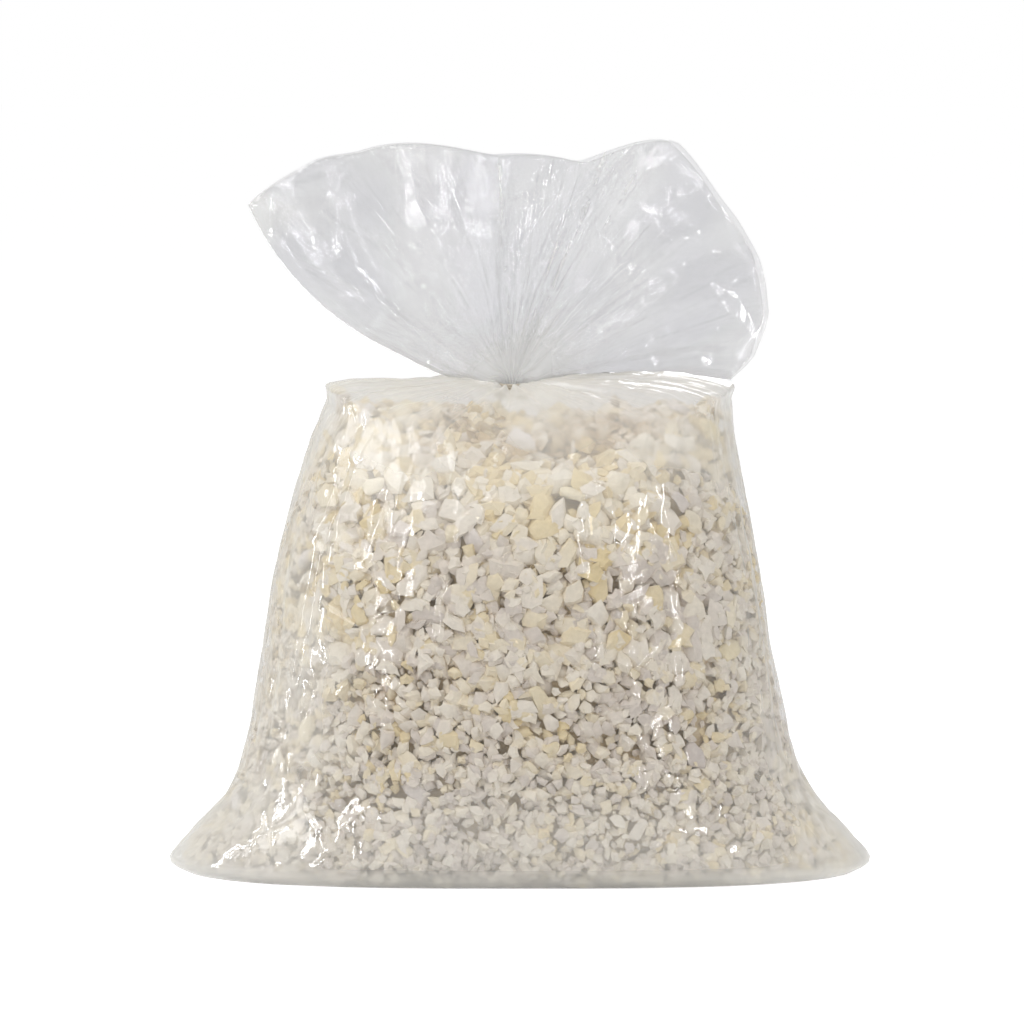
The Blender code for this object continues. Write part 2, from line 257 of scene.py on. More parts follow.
def new_object(
    name: str, verts: Array | list, faces: Array | list, finish: bpy.types.Material | None = None
) -> bpy.types.Object:
    """Makes a mesh object at the origin.

    Args:
        name: The object's name.
        verts: Its points.
        faces: The point numbers of each face.
        finish: Its material, if it has one.

    Returns:
        The object, linked to the scene.
    """
    mesh = bpy.data.meshes.new(name)
    mesh.from_pydata(np.asarray(verts).tolist(), [], [list(map(int, face)) for face in faces])
    if finish is not None:
        mesh.materials.append(finish)
    return add_object(name, mesh)


def store(mesh: bpy.types.Mesh, name: str, values: Array) -> None:
    """Gives each point of a mesh a number, under the attribute's name."""
    mesh.attributes.new(name, "FLOAT", "POINT").data.foreach_set("value", values.astype(np.float32))


def soften(mesh: bpy.types.Mesh, sharp: float) -> None:
    """Shades a mesh smooth, apart from edges that bend by more than sharp degrees."""
    mesh.shade_smooth()
    mesh.set_sharp_from_angle(angle=math.radians(sharp))


def ease(x: Array | float) -> Array:
    """Smooth step from 0 to 1."""
    x = np.clip(x, 0.0, 1.0)
    return x * x * (3 - 2 * x)


def rise(x: Array, start: float, over: float) -> Array:
    """Smooth step from 0 at start to 1 at start + over, which lies before it where over is negative."""
    return ease((x - start) / over)


def tube_faces(rings: int, columns: int, first: int = 0) -> list[tuple[int, ...]]:
    """The quads of a tube whose rings of points follow each other from the point number first.

    Args:
        rings: How many rings there are.
        columns: How many points a ring has.
        first: The number of the first ring's first point.

    Returns:
        Four point numbers for each face.
    """
    faces = []
    for low in range(first, first + (rings - 1) * columns, columns):
        for i in range(columns):
            j = (i + 1) % columns
            faces.append((low + i, low + j, low + j + columns, low + i + columns))
    return faces


def noise_at(points: Array, size: float, seed: float = 0.0) -> Array:
    """Smooth noise from -1 to 1 at each point.

    Args:
        points: The points, one a row.
        size: The length of one bump, in metres.
        seed: Moves the pattern.

    Returns:
        One value for each point.
    """
    return np.array([noise.noise(Vector(p) / size + Vector((seed, seed, seed))) for p in points])


def ridges_at(points: Array, size: float, seed: float = 0.0) -> Array:
    """Sharp crests from 0 to 1, as on crumpled film.

    Args:
        points: The points, one a row.
        size: The length between crests, in metres.
        seed: Moves the pattern.

    Returns:
        One value for each point.
    """
    return (1 - np.minimum(np.abs(noise_at(points, size, seed)) * 2.4, 1.0)) ** 2


def crevices_at(points: Array, size: float, share: float = 0.34) -> Array:
    """How deep each point lies between clumps of shreds: 0 on a clump, 1 in the crevice beside it.

    Args:
        points: The points, one a row.
        size: The length of one clump, in metres.
        share: How much of a clump its crevice takes.

    Returns:
        One value for each point.
    """
    near = [noise.voronoi(Vector(p) / size)[0] for p in points]
    return 1 - ease(np.array([(d[1] - d[0]) / share for d in near]))


@dataclass(frozen=True)
class ClearFilm:
    """Low density polyethylene film, blown as a tube.

    It is clear and glossy, and looks milky where it is slack, bunched or seen edge on. The milky lines near
    the gather also stand in for glints along the folds, as painted highlight.
    """

    tint: str = "#F3F3F4"
    milk: str = "#F8F8F3"
    reflect: float = 0.045
    graze_power: float = 5.0
    graze_reflect: float = 0.5
    facing_haze: float = 0.030
    edge_haze: float = 0.34
    edge_power: float = 2.6
    slack_haze: float = 0.33
    glint_line_haze: float = 0.42
    roughness: float = 0.08
    crease_mm: float = 34.0
    crease_share: float = 0.16
    warps: float = 14.0
    warp: float = 0.05
    wave_mm: float = 16.0
    gather_mm: float = 3.0
    pressed_shine: float = 0.25

    def relief(self, tree: Tree, place: Socket, waves: Socket, gathers: Socket) -> Socket:
        """The film's normal: soft waves, sharp creases, and lines drawn towards the gather.

        Args:
            tree: The node tree.
            place: The place on the object.
            waves: The pattern of the soft waves.
            gathers: The pattern of the lines.

        Returns:
            The normal's socket.
        """
        warp = add_node(tree, "ShaderNodeTexNoise", {"Vector": place, "Scale": self.warps, "Detail": 2.0})
        bent = add_node(
            tree,
            "ShaderNodeVectorMath",
            {0: warp.outputs["Color"], 1: (self.warp, self.warp, self.warp), 2: place},
            operation="MULTIPLY_ADD",
        )
        creases = add_node(
            tree,
            "ShaderNodeTexVoronoi",
            {"Vector": bent.outputs["Vector"], "Scale": 1 / (self.crease_mm * MM)},
            feature="DISTANCE_TO_EDGE",
        )
        crease = ranged(tree, creases.outputs["Distance"], 0.0, self.crease_share, kind="SMOOTHSTEP")
        soft = bumped(tree, waves, 1.2, 0.45)
        sharp = bumped(tree, crease, 1.0, 0.45, soft)
        return bumped(tree, gathers, self.gather_mm, 0.9, sharp)

    def haze(self, tree: Tree, facing: Socket, waves: Socket, streaks: Socket, gather: Socket) -> Socket:
        """How milky the film is: more edge on, where it is slack, and on broken lines near the gather, which
        are bunched film and also painted highlight for glints.

        Args:
            tree: The node tree.
            facing: How far the film is seen edge on.
            waves: The pattern that breaks the lines.
            streaks: The pattern of the lines.
            gather: How near the gather the film is.

        Returns:
            The share of milk.
        """
        edge = maths(tree, "POWER", facing, self.edge_power)
        plain = maths(tree, "MULTIPLY_ADD", edge, self.edge_haze, self.facing_haze)
        slack = maths(tree, "MULTIPLY_ADD", attribute(tree, "slack"), self.slack_haze, plain)
        # Broken milky lines on the gather's streaks: bunched film, and painted highlight that stands in for
        # glints along the folds.
        ridges = ranged(tree, streaks, 0.55, 0.66, 0.0, self.glint_line_haze, kind="SMOOTHSTEP")
        broken = ranged(tree, waves, 0.48, 0.60, 0.0, 1.5)
        bunched = ranged(tree, gather, 0.55, 1.5, 0.0, broken)
        return maths(tree, "MULTIPLY_ADD", ridges, bunched, slack)

    def make(self) -> bpy.types.Material:
        """Builds the material: a see-through sheet with milky haze under a glossy skin.

        Returns:
            The material.
        """
        made, tree, surface = new_material("clear_film")
        place = object_place(tree)
        waves = noise_of(tree, place, self.wave_mm * MM, 3.0, 0.55)
        streaks = noise_of(tree, attribute(tree, "grain", "Vector"), 1.0, 3.0, 0.6)
        gather = attribute(tree, "gather")
        normal = self.relief(tree, place, waves, maths(tree, "MULTIPLY", streaks, gather))
        facing = add_node(tree, "ShaderNodeLayerWeight", {"Blend": 0.5, "Normal": normal}).outputs["Facing"]

        clear = shader_of(tree, "Transparent", {"Color": srgb(self.tint)})
        milk = shader_of(tree, "Diffuse", {"Color": srgb(self.milk), "Normal": normal})
        through = shader_of(tree, "Translucent", {"Color": srgb(self.milk)})
        milky = mixed(tree, 0.5, milk, through)
        sheet = mixed(tree, self.haze(tree, facing, waves, streaks, gather), clear, milky)

        graze = maths(tree, "POWER", facing, self.graze_power)
        shine = maths(tree, "MULTIPLY_ADD", graze, self.graze_reflect, self.reflect)
        loose = attribute(tree, "loose")
        share = maths(tree, "MULTIPLY_ADD", loose, 1 - self.pressed_shine, self.pressed_shine)
        gloss = shader_of(tree, "Anisotropic", {"Roughness": self.roughness, "Normal": normal})
        film = mixed(tree, maths(tree, "MULTIPLY", shine, share), sheet, gloss)

        # Light that only passes on its way elsewhere meets a plain clear sheet.
        path = add_node(tree, "ShaderNodeLightPath").outputs
        passing = maths(tree, "MAXIMUM", path["Is Shadow Ray"], path["Is Diffuse Ray"])
        plain = shader_of(tree, "Transparent", {"Color": srgb(self.tint)})
        tree.links.new(mixed(tree, passing, film, plain), surface)
        return made


@dataclass(frozen=True)
class TornFoam:
    """Flexible polyurethane foam, torn: matt and finely porous, in several shades of old foam."""

    name: str
    shades: tuple[str, ...]
    # Painted shade: the brown that the crevices between shreds are coloured.
    crevice_shade: str = "#B4945F"
    patch_mm: float = 70.0
    dent_mm: float = 4.0
    pore_mm: float = 0.9

    def make(self) -> bpy.types.Material:
        """Builds the material: a shade for each shred, dented and porous, with hardly any shine, and painted
        shade that turns it brown in the crevices.

        Returns:
            The material.
        """
        made, tree, surface = new_material(self.name)
        place = object_place(tree)
        # A shred's own shade drifts from patch to patch of the heap, and a little with its height.
        drift = ranged(tree, noise_of(tree, place, self.patch_mm * MM, 1.0), 0.3, 0.7, -0.2, 0.2)
        height = add_node(tree, "ShaderNodeSeparateXYZ", {"Vector": place}).outputs["Z"]
        moved = maths(tree, "ADD", drift, ranged(tree, height, 0.08, 0.26, -0.14, 0.12))
        shade = maths(tree, "ADD", attribute(tree, "tint"), moved, clamp=True)
        dents = noise_of(tree, place, self.dent_mm * MM, 3.0, 0.6)
        # Painted shade: the colour darkens a little in the dents of the bump pattern.
        dent_shade = ranged(tree, dents, 0.3, 0.7, 0.90, 1.04)
        dent_shaded = add_node(
            tree,
            "ShaderNodeVectorMath",
            {0: shade_ramp(tree, shade, self.shades), "Scale": dent_shade},
            operation="SCALE",
        )
        # Painted shade: the colour turns brown towards the crevices, by the deep attribute.
        colour = blended(tree, attribute(tree, "deep"), dent_shaded.outputs["Vector"], srgb(self.crevice_shade))
        pores = add_node(tree, "ShaderNodeTexVoronoi", {"Vector": place, "Scale": 1 / (self.pore_mm * MM)})
        porous = bumped(tree, pores.outputs["Distance"], 0.3, 0.4, bumped(tree, dents, 1.1, 0.6))
        plain_surface(tree, surface, colour, porous, roughness=0.92, specular=0.2)
        return made


@dataclass(frozen=True)
class PaintedShadeFoam:
    """The deep of the heap: the same foam, coloured brown as painted shade."""

    light: str = "#D6C6A6"
    dark: str = "#B49C70"
    lump_mm: float = 9.0

    def make(self) -> bpy.types.Material:
        """Builds the material: mottled warm brown with lumps, painted shade that is darker in the lumps'
        hollows.

        Returns:
            The material.
        """
        made, tree, surface = new_material("foam_in_the_deep")
        lumps = noise_of(tree, object_place(tree), self.lump_mm * MM, 4.0)
        colour = blended(tree, lumps, srgb(self.dark), srgb(self.light))
        plain_surface(tree, surface, colour, bumped(tree, lumps, 3, 0.9), roughness=0.95, specular=0.1)
        return made


@dataclass(frozen=True)
class NaturalRubber:
    """A natural rubber band, cut from an extruded tube: tan and waxy."""

    # Painted shade in part: the band is dull grey-tan, and its greyness stands in for the shade in the knot
    # of the gather.
    light: str = "#C4BAA8"
    dark: str = "#948B7C"
    streak_mm: float = 2.5

    def make(self) -> bpy.types.Material:
        """Builds the material: dull grey-tan with faint streaks and a waxy sheen, its greyness partly painted
        shade for the gather's knot.

        Returns:
            The material.
        """
        made, tree, surface = new_material("natural_rubber")
        streaks = noise_of(tree, object_place(tree), self.streak_mm * MM, 2.0)
        colour = shade_ramp(tree, streaks, (self.dark, self.light))
        plain_surface(tree, surface, colour, bumped(tree, streaks, 0.2, 0.4), roughness=0.45)
        return made


@dataclass(frozen=True)
class BagForm:
    """The bag's outer form, from the same driving sizes as the frame's solids."""

    pleats: int = 24
    skin_wave: float = 0.0022
    skin_wave_length: float = 0.085
    ear_span: float = 0.458
    ear_tip_height: float = 0.006
    ear_heel: float = 0.010
    ear_top_width: float = 0.376
    ear_top_height: float = 0.062
    base_depth: float = 0.216
    base_heel: float = 0.008
    heel_height: float = 0.010
    belly: tuple[float, float, float] = (0.341, 0.238, 0.128)
    chest: tuple[float, float, float] = (0.319, 0.228, 0.205)
    shoulder: tuple[float, float, float] = (0.282, 0.206, 0.276)
    crown: tuple[float, float, float] = (0.252, 0.134, 0.318)
    front_slope: float = 0.034
    belly_shift: float = -0.002
    top_shift: float = 0.006
    neck_x: float = -0.0045
    neck_height: float = 0.308
    neck_diameter: float = 0.014
    neck_length: float = 0.008
    pleat_depth: float = 0.0018
    lip: tuple[float, float, float] = (0.100, 0.068, 0.3135)
    lip_pleat: float = 0.0042
    pleat_run_out: float = 2.6
    neck_flare: float = 1.3
    throat_width: float = 0.034
    mouth_tilt: float = 8.0
    mouth_opening: float = 0.034
    mouth_pleat: float = 0.0048
    mouth_wave: float = 0.007
    mouth_waves: float = 1.7
    wave_start: float = 0.6
    left_fold_start: float = -80.0
    right_fold_start: float = 80.0
    fold_curve: float = 1.5
    rim: tuple[tuple[float, float], ...] = (
        (-56.0, 0.207),
        (-42.0, 0.193),
        (-33.0, 0.179),
        (-5.0, 0.148),
        (17.0, 0.149),
        (34.0, 0.1885),
        (50.0, 0.180),
        (62.0, 0.181),
        (73.0, 0.1735),
        (82.0, 0.159),
        (88.0, 0.142),
    )
    seed: int = 7

    def stations(self) -> Array:
        """The control rings from the edge of the base to the top of the neck.

        Returns:
            One row a ring: half width, side height, half depth, front height, the side's and the
            front's powers, and the shift along X.
        """
        ear = self.ear_span / 2
        base = self.base_depth / 2
        neck = self.neck_diameter / 2
        flare = self.neck_flare * neck
        ear_top = self.ear_top_width / 2
        low = (2 * self.ear_tip_height + self.ear_top_height) / 3
        (belly_w, belly_d, belly_z) = self.belly
        (chest_w, chest_d, chest_z) = self.chest
        (shoulder_w, shoulder_d, shoulder_z) = self.shoulder
        (crown_w, crown_d, crown_z) = self.crown
        (lip_w, lip_d, lip_z) = self.lip
        slope = self.front_slope
        shift = self.top_shift
        corner = self.neck_height + self.neck_length / 4
        top = self.neck_height + self.neck_length
        return np.array(
            (
                (ear - self.ear_heel, 0.0, base - self.base_heel, 0.0, 3.0, 2.4, 0.0),
                (ear, self.ear_tip_height, base, self.heel_height, 3.0, 1.9, 0.0),
                ((2 * ear + ear_top) / 3, low, (base + belly_d / 2) / 2, low, 2.9, 1.9, 0.0),
                (ear_top, self.ear_top_height, belly_d / 2, self.ear_top_height, 2.5, 1.85, 0.0),
                (belly_w / 2, belly_z, belly_d / 2, belly_z, 2.4, 2.05, self.belly_shift),
                (chest_w / 2, chest_z, chest_d / 2, chest_z, 2.3, 2.15, self.belly_shift),
                (shoulder_w / 2, shoulder_z, shoulder_d / 2, shoulder_z - slope, 2.3, 2.15, shift / 3),
                (
                    (shoulder_w + crown_w) / 4,
                    (shoulder_z + 2 * crown_z) / 3,
                    (shoulder_d + crown_d) / 4,
                    (shoulder_z + crown_z) / 2 - slope * 0.8,
                    2.3,
                    2.15,
                    shift,
                ),
                (crown_w / 2, crown_z, crown_d / 2, crown_z - slope * 0.75, 2.3, 2.15, shift),
                (lip_w / 2, crown_z, lip_d / 2, lip_z - slope * 0.15, 2.2, 2.1, 0.0),
                (self.throat_width / 2, lip_z, self.throat_width / 2, lip_z, 2.0, 2.0, self.neck_x),
                (flare, self.neck_height, flare, self.neck_height, 2.0, 2.0, self.neck_x),
                (neck, corner, neck, corner, 2.0, 2.0, self.neck_x),
                (neck, top, neck, top, 2.0, 2.0, self.neck_x),
            )
        )

    @property
    def last(self) -> int:
        """The number of the last control ring."""
        return len(self.stations()) - 1

    @property
    def lip_station(self) -> int:
        """The number of the control ring at the lip of the gather."""
        return self.last - 4

    def through(self, t: Array) -> Array:
        """The control ring's values at any t, on a smooth curve through the rings.

        Args:
            t: How far up the control rings each point is.

        Returns:
            One row of ring values for each point.
        """
        rows = self.stations()
        i = np.clip(t.astype(int), 0, len(rows) - 2)
        f = (t - i)[:, None]
        p1 = rows[i]
        p2 = rows[i + 1]
        p0 = rows[np.maximum(i - 1, 0)]
        p3 = rows[np.minimum(i + 2, len(rows) - 1)]
        slope_1 = (p2 - p0) / 2
        slope_2 = (p3 - p1) / 2
        start = p1 * (1 + 2 * f) * (1 - f) ** 2 + slope_1 * f * (1 - f) ** 2
        return start + p2 * f * f * (3 - 2 * f) - slope_2 * f * f * (1 - f)

    def body(
        self, t: Array, angle: Array, inset: Array | float = 0.0, side_inset: Array | float = 0.0
    ) -> Array:
        """Points of the body's smooth skin.

        Args:
            t: How far up the control rings each point is.
            angle: Its angle round the body, in radians from +X.
            inset: How far in from the skin it is.
            side_inset: How much further in it is across X.

        Returns:
            The points, one a row.
        """
        row = self.through(t)
        cos = np.cos(angle)
        sin = np.sin(angle)
        x = (row[:, 0] - inset - side_inset) * np.sign(cos) * np.abs(cos) ** (2 / row[:, 4])
        y = (row[:, 2] - inset) * np.sign(sin) * np.abs(sin) ** (2 / row[:, 5])
        z = row[:, 1] * cos**2 + row[:, 3] * sin**2 - inset * ease((t - 6) / 2)
        return np.stack((x + row[:, 6], y, z), axis=1)

    def normal(self, t: Array, angle: Array) -> Array:
        """The outward direction of the smooth skin at each point.

        Args:
            t: How far up the control rings each point is.
            angle: Its angle round the body.

        Returns:
            One unit vector for each point.
        """
        step = 0.02
        after = self.body(np.minimum(t + step, self.last), angle)
        before = self.body(np.maximum(t - step, 0.0), angle)
        round_it = self.body(t, angle + step) - self.body(t, angle - step)
        normal = np.cross(round_it, after - before)
        return normal / np.linalg.norm(normal, axis=1, keepdims=True)

    def pleat_sizes(self) -> Array:
        """A size for each pleat, so that the gathers aren't all alike."""
        dice = random.Random(self.seed)
        return np.array([dice.uniform(0.55, 1.45) for _ in range(self.pleats)])

    def pleated(self, angle: Array) -> tuple[Array, Array]:
        """Each point's pleat size, and how deep in its pleat it is from 0 to 1.

        Args:
            angle: Each point's angle round the tube.

        Returns:
            The sizes and the depths.
        """
        share = np.mod(angle / FULL_TURN, 1.0)
        size = self.pleat_sizes()[np.minimum((share * self.pleats).astype(int), self.pleats - 1)]
        return size, (1 - np.cos(angle * self.pleats)) / 2

    def body_skin(self, t: Array, angle: Array) -> Array:
        """Points of the film up to the top of the neck, with its pleats and its slack.

        Args:
            t: How far up the control rings each point is.
            angle: Its angle round the body.

        Returns:
            The points, one a row.
        """
        smooth = self.body(t, angle)
        size, fold = self.pleated(angle)
        out = np.maximum(self.last - 1 - t, 0.0)
        depth = self.pleat_depth + (self.lip_pleat * size - self.pleat_depth) * ease(out / 2)
        depth = depth * fold * np.exp(-((out / (self.pleat_run_out * size)) ** 2))
        fade = ease((t - 1) / 2) * ease((self.lip_station - t) / 3)
        wave = fade * self.skin_wave * (1 + noise_at(smooth, self.skin_wave_length))
        return smooth - self.normal(t, angle) * (depth + wave)[:, None]

    def rim_at(self, across: Array) -> tuple[Array, Array]:
        """The rim's angle from upright, in degrees, and its reach from the neck, from fold to fold.

        Args:
            across: From the left fold at 0 to the right one at 1.

        Returns:
            The angles and the reaches.
        """
        corners = np.array(self.rim)
        angle = corners[0, 0] + (corners[-1, 0] - corners[0, 0]) * across
        i = np.clip(np.searchsorted(corners[:, 0], angle) - 1, 0, len(corners) - 2)
        share = (angle - corners[i, 0]) / (corners[i + 1, 0] - corners[i, 0])
        share = 0.35 * ease(share) + 0.65 * share
        return angle, corners[i, 1] + (corners[i + 1, 1] - corners[i, 1]) * share

    def mouth_skin(self, up: Array, turn: Array, puff: Array | float = 0.0) -> Array:
        """Points of the loose mouth, a flat tube fanned out above the neck.

        Args:
            up: From the neck at 0 to the rim at 1.
            turn: The angle round the tube.
            puff: How far the sheet stands out from the smooth layer.

        Returns:
            The points, one a row.
        """
        neck = self.neck_diameter / 2
        opening = self.mouth_opening / 2
        across = (1 + np.cos(turn)) / 2
        rim_angle, reach = self.rim_at(across)
        start = self.left_fold_start + (self.right_fold_start - self.left_fold_start) * across
        leaving = 0.35 + 0.65 * ease(12 * up)
        angle = leaving * np.radians(start + (rim_angle - start) * up**self.fold_curve)
        distance = reach * up
        size, fold = self.pleated(turn)
        small = self.pleat_depth / neck
        depth = (small + (self.mouth_pleat * size / opening - small) * ease(3 * up)) * fold
        round_neck = neck * (1 - up) ** 2
        layer = np.sin(turn) * (round_neck + opening * ease(1.3 * up)) * (1 - depth)
        wave = self.mouth_wave * ease(up) * np.sin(FULL_TURN * self.mouth_waves * across + self.wave_start)
        sideways = round_neck * (1 - depth * (1 - up) ** 12) * np.cos(turn) + distance * np.sin(angle)
        deep = layer + wave + puff * np.sign(np.sin(turn)) * np.minimum(np.abs(np.sin(turn)) * 4, 1.0)
        tilt = math.radians(self.mouth_tilt) * ease(3 * up)
        x = self.neck_x + sideways * np.cos(tilt) - deep * np.sin(tilt)
        y = sideways * np.sin(tilt) + deep * np.cos(tilt)
        z = self.neck_height + self.neck_length + distance * np.cos(angle)
        return np.stack((x, y, z), axis=1)


class Fold(NamedTuple):
    """A long fold of the mouth.

    Its lean from upright and its width are in degrees, and its height in metres. It runs from
    low to high, as shares of the way from the neck to the rim.
    """

    lean: float
    width: float
    height: float
    low: float
    high: float


FRONT_FOLDS = (
    Fold(-48.0, 5.0, 0.0022, 0.3, 0.9),
    Fold(-42.0, 2.5, 0.0030, 0.25, 0.75),
    Fold(-28.0, 3.0, 0.0026, 0.1, 0.55),
    Fold(-12.0, 3.0, 0.0020, 0.05, 0.5),
    Fold(-2.0, 1.8, 0.0034, 0.05, 1.0),
    Fold(3.0, 1.6, 0.0030, 0.0, 0.8),
    Fold(14.0, 3.0, 0.0026, 0.1, 0.9),
    Fold(23.0, 2.6, 0.0046, 0.1, 1.1),
    Fold(32.0, 3.0, 0.0042, 0.15, 1.1),
    Fold(42.0, 4.0, 0.0024, 0.05, 0.5),
    Fold(58.0, 3.0, 0.0026, 0.1, 0.8),
    Fold(66.0, 2.4, 0.0020, 0.4, 0.8),
)
BACK_FOLDS = (
    Fold(-36.0, 5.0, 0.0024, 0.1, 0.9),
    Fold(-18.0, 4.0, 0.0020, 0.1, 0.7),
    Fold(8.0, 3.0, 0.0026, 0.1, 0.8),
    Fold(28.0, 4.0, 0.0030, 0.1, 1.0),
    Fold(50.0, 4.0, 0.0022, 0.1, 0.8),
    Fold(70.0, 3.0, 0.0018, 0.2, 0.7),
)


@dataclass
class FilmBag:
    """The film: one blown tube with its flat base, its ears, its gather and its fanned mouth."""

    form: BagForm
    columns: int = 240
    body_rings: int = 128
    mouth_rings: int = 58
    base_rings: int = 5
    ring_crowding: float = 1.35
    thickness: float = 0.00015
    folds: int = 56
    fold_height: float = 0.0022
    crumple: float = 0.0011
    mouth_crumple: float = 0.0012
    mouth_fold: float = 1.9
    puff: float = 0.0048
    droop: float = 0.0045
    gathers: float = 7.0
    left_milk: float = 1.00
    right_milk: float = 0.60
    foot_milk: float = 0.62
    milk_patch: float = 0.05
    seed: int = 21

    def ring_places(self) -> Array:
        """The t of each body ring, spaced evenly along the skin.

        Returns:
            One t for each ring, from the base up.
        """
        fine = np.linspace(0.0, self.form.last, 1200)
        steps = 0.0
        for angle in (0.0, math.pi / 2):
            points = self.form.body(fine, np.full_like(fine, angle))
            steps = steps + np.linalg.norm(np.diff(points, axis=0), axis=1) / 2
        travelled = np.concatenate(([0.0], np.cumsum(steps + 1e-5)))
        return np.interp(np.linspace(0.0, travelled[-1], self.body_rings), travelled, fine)

    def body_relief(self, t: Array, angle: Array, points: Array) -> Array:
        """How far the folds and creases of the body stand in from its skin.

        Long folds run down from the gather, and small crumples lie between them.

        Args:
            t: How far up the control rings each point is.
            angle: Its angle round the body.
            points: The points, one a row.

        Returns:
            One length in metres for each point.
        """
        dice = random.Random(self.seed)
        relief = np.zeros(len(t))
        for index in range(self.folds):
            middle = FULL_TURN * (index + dice.uniform(-0.4, 0.4)) / self.folds
            low = dice.uniform(1.4, 6.6)
            width = dice.uniform(0.018, 0.045)
            drift = dice.uniform(-0.10, 0.10)
            height = self.fold_height * dice.uniform(0.35, 1.0)
            away = np.mod(angle - middle - drift * np.sin(t * 0.9) + math.pi, FULL_TURN) - math.pi
            along = rise(t, low, 1.6) * rise(t, self.form.lip_station + 0.4, -1.5)
            relief += height * along * np.maximum(1 - np.abs(away) / width, 0.0) ** 1.4
        calm = rise(t, 0.6, 1.2) * rise(t, self.form.last - 1.2, -2)
        stretched = points * np.array((1.0, 1.0, 0.5))
        relief += calm * self.crumple * ridges_at(stretched, 0.030, 3.0)
        relief += calm * self.crumple * 0.5 * ridges_at(stretched, 0.013, 9.0)
        return relief

    def mouth_relief(self, up: Array, turn: Array, points: Array) -> Array:
        """How far the folds of the mouth, which fan out from the neck, stand out from its layers.

        Args:
            up: From the neck at 0 to the rim at 1.
            turn: The angle round the tube.
            points: The points, one a row.

        Returns:
            One length in metres for each point.
        """
        front = np.sin(turn) < 0
        angle = self.form.rim_at((1 + np.cos(turn)) / 2)[0]
        relief = np.zeros(len(up))
        for folds, side in ((FRONT_FOLDS, front), (BACK_FOLDS, ~front)):
            for fold in folds:
                along = rise(up, fold.low, 0.25) * rise(up, fold.high, -0.3)
                wander = 2.0 * np.sin(up * 5 + fold.lean)
                crest = np.maximum(1 - np.abs(angle - fold.lean - wander) / fold.width, 0.0)
                relief += side * self.mouth_fold * fold.height * along * crest**1.1
        spread = ease(up * 3)
        turned = points + np.where(front, 0.0, 0.5)[:, None]
        relief += spread * self.mouth_crumple * ridges_at(turned, 0.034, 5.0)
        relief += spread * self.mouth_crumple * 0.6 * ridges_at(turned, 0.014, 12.0)
        return relief

    def slackness(self, points: Array) -> Array:
        """How milky each point of the body is: where the film lies slack off the foam.

        The sides are milky towards the camera, as in the photograph, and clearer behind.

        Args:
            points: The points, one a row.

        Returns:
            A value from 0 to 1.5 for each point.
        """
        x, y, z = points.T
        top = rise(z, 0.205, 0.08)
        foot = rise(z, 0.095, -0.08)
        heel = rise(z, 0.014, -0.012)
        left = rise(x, -0.080, -0.07)
        right = rise(x, 0.090, 0.07)
        ears = rise(np.abs(x), 0.165, 0.035)
        forward = 0.22 + 0.78 * rise(y, -0.005, -0.05)
        throat = rise(np.hypot(x, y), 0.06, -0.04) * top
        patch = 0.5 + 0.5 * noise_at(points, self.milk_patch, 4.0)
        sides = (self.left_milk * left + self.right_milk * right) * forward * (0.35 + 0.8 * patch)
        slack = np.maximum(np.maximum(top * (0.35 + 0.75 * patch), sides), self.foot_milk * foot)
        return np.clip(slack + 0.20 * ears + 0.9 * heel + 0.7 * throat, 0.0, 1.5)

    def puffed(self, points: Array) -> Array:
        """How far the slack crown stands up beside the neck, where the mouth lies down on it.

        Args:
            points: The points, one a row.

        Returns:
            One length in metres for each point.
        """
        away = np.hypot(points[:, 0] - self.form.neck_x, points[:, 1])
        ring = rise(away, 0.009, 0.012) * rise(away, 0.150, -0.06) * rise(points[:, 2], 0.290, 0.02)
        right = rise(points[:, 0], -0.01, 0.03)
        near = rise(away, 0.075, -0.04)
        return self.puff * ring * (right + 0.8 * (1 - right) * near)

    def laid_down(self, mouth: Array) -> tuple[Array, Array]:
        """Lets the lowest folds of the mouth lie down on the crown.

        Args:
            mouth: The mouth's points.

        Returns:
            Each point's lean from upright about the neck, in degrees, and the points.
        """
        across = mouth[:, 0] - self.form.neck_x
        above = mouth[:, 2] - self.form.neck_height - self.form.neck_length
        lean = np.degrees(np.arctan2(across, above))
        away = np.hypot(across, above)
        lying = rise(np.abs(lean), 50, 20) * rise(away, 0.0, 0.012)
        near = np.where(lean > 0, 1.0, rise(away, 0.085, -0.05))
        laid = mouth.copy()
        laid[:, 2] -= self.droop * lying * near
        return lean, laid

    def build(self, finish: bpy.types.Material) -> bpy.types.Object:
        """Makes the sheet, gives it its attributes for the material, and its thickness.

        Args:
            finish: The film's material.

        Returns:
            The film's object.
        """
        turn = np.linspace(0.0, FULL_TURN, self.columns, endpoint=False)
        t = np.repeat(self.ring_places(), self.columns)
        angle = np.tile(turn, self.body_rings)
        smooth = self.form.body_skin(t, angle)
        sunk = self.body_relief(t, angle, smooth) - self.puffed(smooth)
        body = smooth - self.form.normal(t, angle) * sunk[:, None]

        rings = np.arange(1, self.mouth_rings + 1) / self.mouth_rings
        up = np.repeat(rings**self.ring_crowding, self.columns)
        around = np.tile(turn, self.mouth_rings)
        flat = self.form.mouth_skin(up, around)
        lean, mouth = self.laid_down(self.form.mouth_skin(up, around, self.mouth_relief(up, around, flat)))

        shares = np.linspace(0.0, 1.0, self.base_rings + 1)[1:-1]
        base = np.concatenate([body[: self.columns] * share for share in shares])
        verts = np.concatenate((np.zeros((1, 3)), base, body, mouth))
        verts[:, 2] = np.maximum(verts[:, 2], 0.0)
        faces = [(0, 1 + (i + 1) % self.columns, 1 + i) for i in range(self.columns)]
        faces += tube_faces((len(verts) - 1) // self.columns, self.columns, 1)
        bag = new_object("clear_film_bag", verts, faces, finish)

